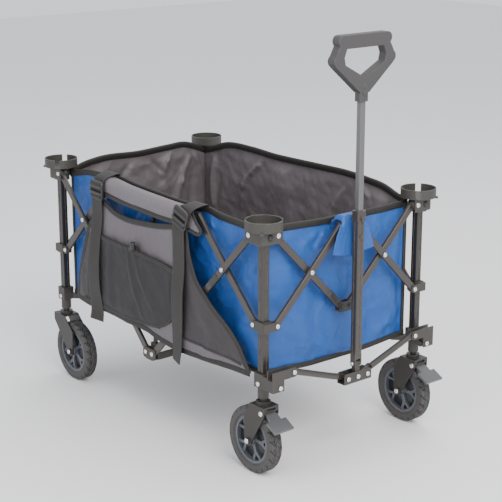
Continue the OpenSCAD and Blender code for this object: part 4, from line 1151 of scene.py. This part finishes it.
print("rivet caps set on brackets, sliders, crossings and links")

# %% More rivets: hubs, feet, handle and casters
for side, sy in (("left", -1), ("right", 1)):
    domes(f"hub_rivets_{side}", [(x, sy * (POST_Y + 24.7), HUB_Z, 0, sy, 0) for x in (-14, 14)],
          f"{side}_hub")
    domes(f"foot_rivets_{side}_front", [(POST_X + 57.1, sy * (POST_Y - 52), 272, 1, 0, 0),
                                        (POST_X + 57.1, sy * (POST_Y - 8), 241, 1, 0, 0),
                                        (POST_X, sy * (POST_Y + 18), 242, 0, sy, 0)], f"{side}_front_post")
    domes(f"foot_rivets_{side}_rear", [(-POST_X, sy * (POST_Y + 18), 242, 0, sy, 0)], f"{side}_rear_post")
    for way in (-1, 1):
        tag = "outer" if way == sy else "inner"
        domes(f"fork_bolts_{side}_front_{tag}", [(POST_X - 30, sy * POST_Y + way * 29, 86, 0, way, 0),
                                                 (POST_X + 20, sy * POST_Y + way * 25.5, 172, 0, way, 0)],
              f"{side}_fork", 7.0, 3.2)
        domes(f"fork_bolts_{side}_rear_{tag}", [(-POST_X + 50, sy * POST_Y + way * 29, 86, 0, way, 0)],
              f"{side}_rear_post", 7.0, 3.2)
domes("handle_foot_rivets", [(POST_X + 62.5, -33, 212, 1, 0, 0), (POST_X + 62.5, 0, 212, 1, 0, 0),
                             (POST_X + 62.5, 33, 212, 1, 0, 0)], "handle_foot")
domes("handle_tilt_rivets", [(POST_X + 51, -14.1, 246, 0, -1, 0), (POST_X + 51, 14.1, 246, 0, 1, 0)],
      "handle_lower", 5.6)


# %% Plastic sleeves on the bars and plugs in the brackets
def sleeve(name, centre, along, out, length, body, wide=21.0, thick=12.0):
    """A sleeve clipped round a bar: a squared oval carried along it."""
    t = np.linspace(-1, 1, 40)
    path = np.array(centre) + np.outer(t * length / 2, along)
    shape = soft_bar(wide, thick, 24)
    piece = carried(name, path, np.cross(along, out), shape, black_plastic)
    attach(piece, body)
    return piece


down = np.array([0, cos_bar, -sin_bar])
reach = SHORT_BAR - 42
sleeve("front_bar_sleeve", (POST_X + 5, -(POST_Y - PIN_REACH) + reach * cos_bar, PIN_Z - reach * sin_bar),
       down,
       np.array([1.0, 0, 0]), 34, "front_left_long", 21.5, 12.5)
for end, sx in (("front", 1), ("rear", -1)):
    along = np.array([-sx * cos_bar, 0, -sin_bar])
    spot = half_bar + 48
    sleeve(f"side_bar_sleeve_{end}", (sx * (POST_X - PIN_REACH - spot * cos_bar), -(POST_Y + 15.5),
                                      PIN_Z - spot * sin_bar),
           along, np.array([0, -1.0, 0]), 40, body_of_node[f"side_long_bar_left_{end}"], 21.0, 12.0)
    for side, sy in (("left", -1), ("right", 1)):
        turn = np.linspace(0, 2 * np.pi, 28, endpoint=False)
        path = np.stack([sx * (POST_X + np.linspace(20.0, 28.2, 6)), np.full(6, sy * (POST_Y + 1)),
                         np.full(6, PIN_Z - 1.0)], 1)
        plug = carried(f"release_button_{side}_{end}", path, np.array([0, 1.0, 0]),
                       np.stack([np.cos(turn) * 6.2, np.sin(turn) * 8.6], 1), black_plastic)
        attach(plug, f"{side}_{end}_post")
        arc = np.linspace(0, np.pi / 2, 7)
        plan = np.concatenate([np.stack([np.linspace(-37, 14, 8), np.full(8, 26.4)], 1),
                               np.stack([14 + 11.2 * np.sin(arc), 15.2 + 11.2 * np.cos(arc)], 1)[1:-1],
                               np.stack([np.full(8, 25.2), np.linspace(15.2, -37, 8)], 1)])
        path = np.stack([sx * (POST_X + plan[:, 0]), sy * (POST_Y + plan[:, 1]), np.full(len(plan), 610.0)],
                        1)
        plate = carried(f"bracket_skirt_{side}_{end}", path, np.array([0, 0, 1.0]), soft_bar(33, 1.7, 28),
                        tray_plastic)
        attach(plate, f"{side}_{end}_post")
    for side, sy in (("left", -1), ("right", 1)):
        spot_x = POST_X - 30 if end == "front" else -POST_X + 50
        body = f"{side}_{end}_wheel"
        # A disc in each wheel's middle plane, coloured as painted shade between the spokes.
        domes(f"rim_web_{side}_{end}", [(spot_x, sy * POST_Y, 86, 0, 1, 0),
                                        (spot_x, sy * POST_Y, 86, 0, -1, 0)], body, 54, 3,
              rim_web_painted_shade)
print("sleeves, buttons, bracket skirts and rim webs done")

# %% [markdown]
# ## Finishes on the frame's own parts
# Each part of the engineering model keeps its mesh and takes one of the finishes above by its name.

# %% Paint the frame
FINISH_BY_NAME = [("brake_pedal", pedal_steel), ("cup_bracket", tray_plastic), ("tyre", rubber),
                  ("rim_", rim_plastic),
                  ("fork_", fork_paint), ("handle_grip", grip_plastic), ("post_", post_paint),
                  ("slider", plate_paint),
                  ("corner_foot", plate_paint), ("handle_foot", plate_paint), ("side_hub", plate_paint),
                  ("lower_link", black_plastic), ("link", plate_paint), ("handle_upper", upper_tube_paint),
                  ("handle_", bar_paint), ("rail", bar_paint), ("bar", bar_paint)]
painted = 0
for name, thing in nodes.items():
    finish = next((m for key, m in FINISH_BY_NAME if key in name), blue_cloth)
    if not thing.material_slots:
        thing.data.materials.append(finish)
    for slot in thing.material_slots:
        slot.material = finish
    painted += 1
print("painted", painted, "nodes")

# %% A table of finish names for the sewn pieces; the loop below finds each piece's entry and sets nothing
SLOTS = [("tub_wall", "blue_cloth"), ("centre_flap", "blue_cloth"), ("tub_floor", "grey_cloth"),
         ("side_panel", "grey_cloth"),
         ("mesh_pouch", "grey_cloth"), ("top_flap", "grey_cloth"), ("gusset", "grey_cloth")]
for thing in bpy.data.objects:
    for key, slot_name in SLOTS:
        if thing.type == "MESH" and thing.name.startswith(key) or key in thing.name and thing.type == "MESH":
            if thing.name not in nodes and "tape" not in thing.name:
                break
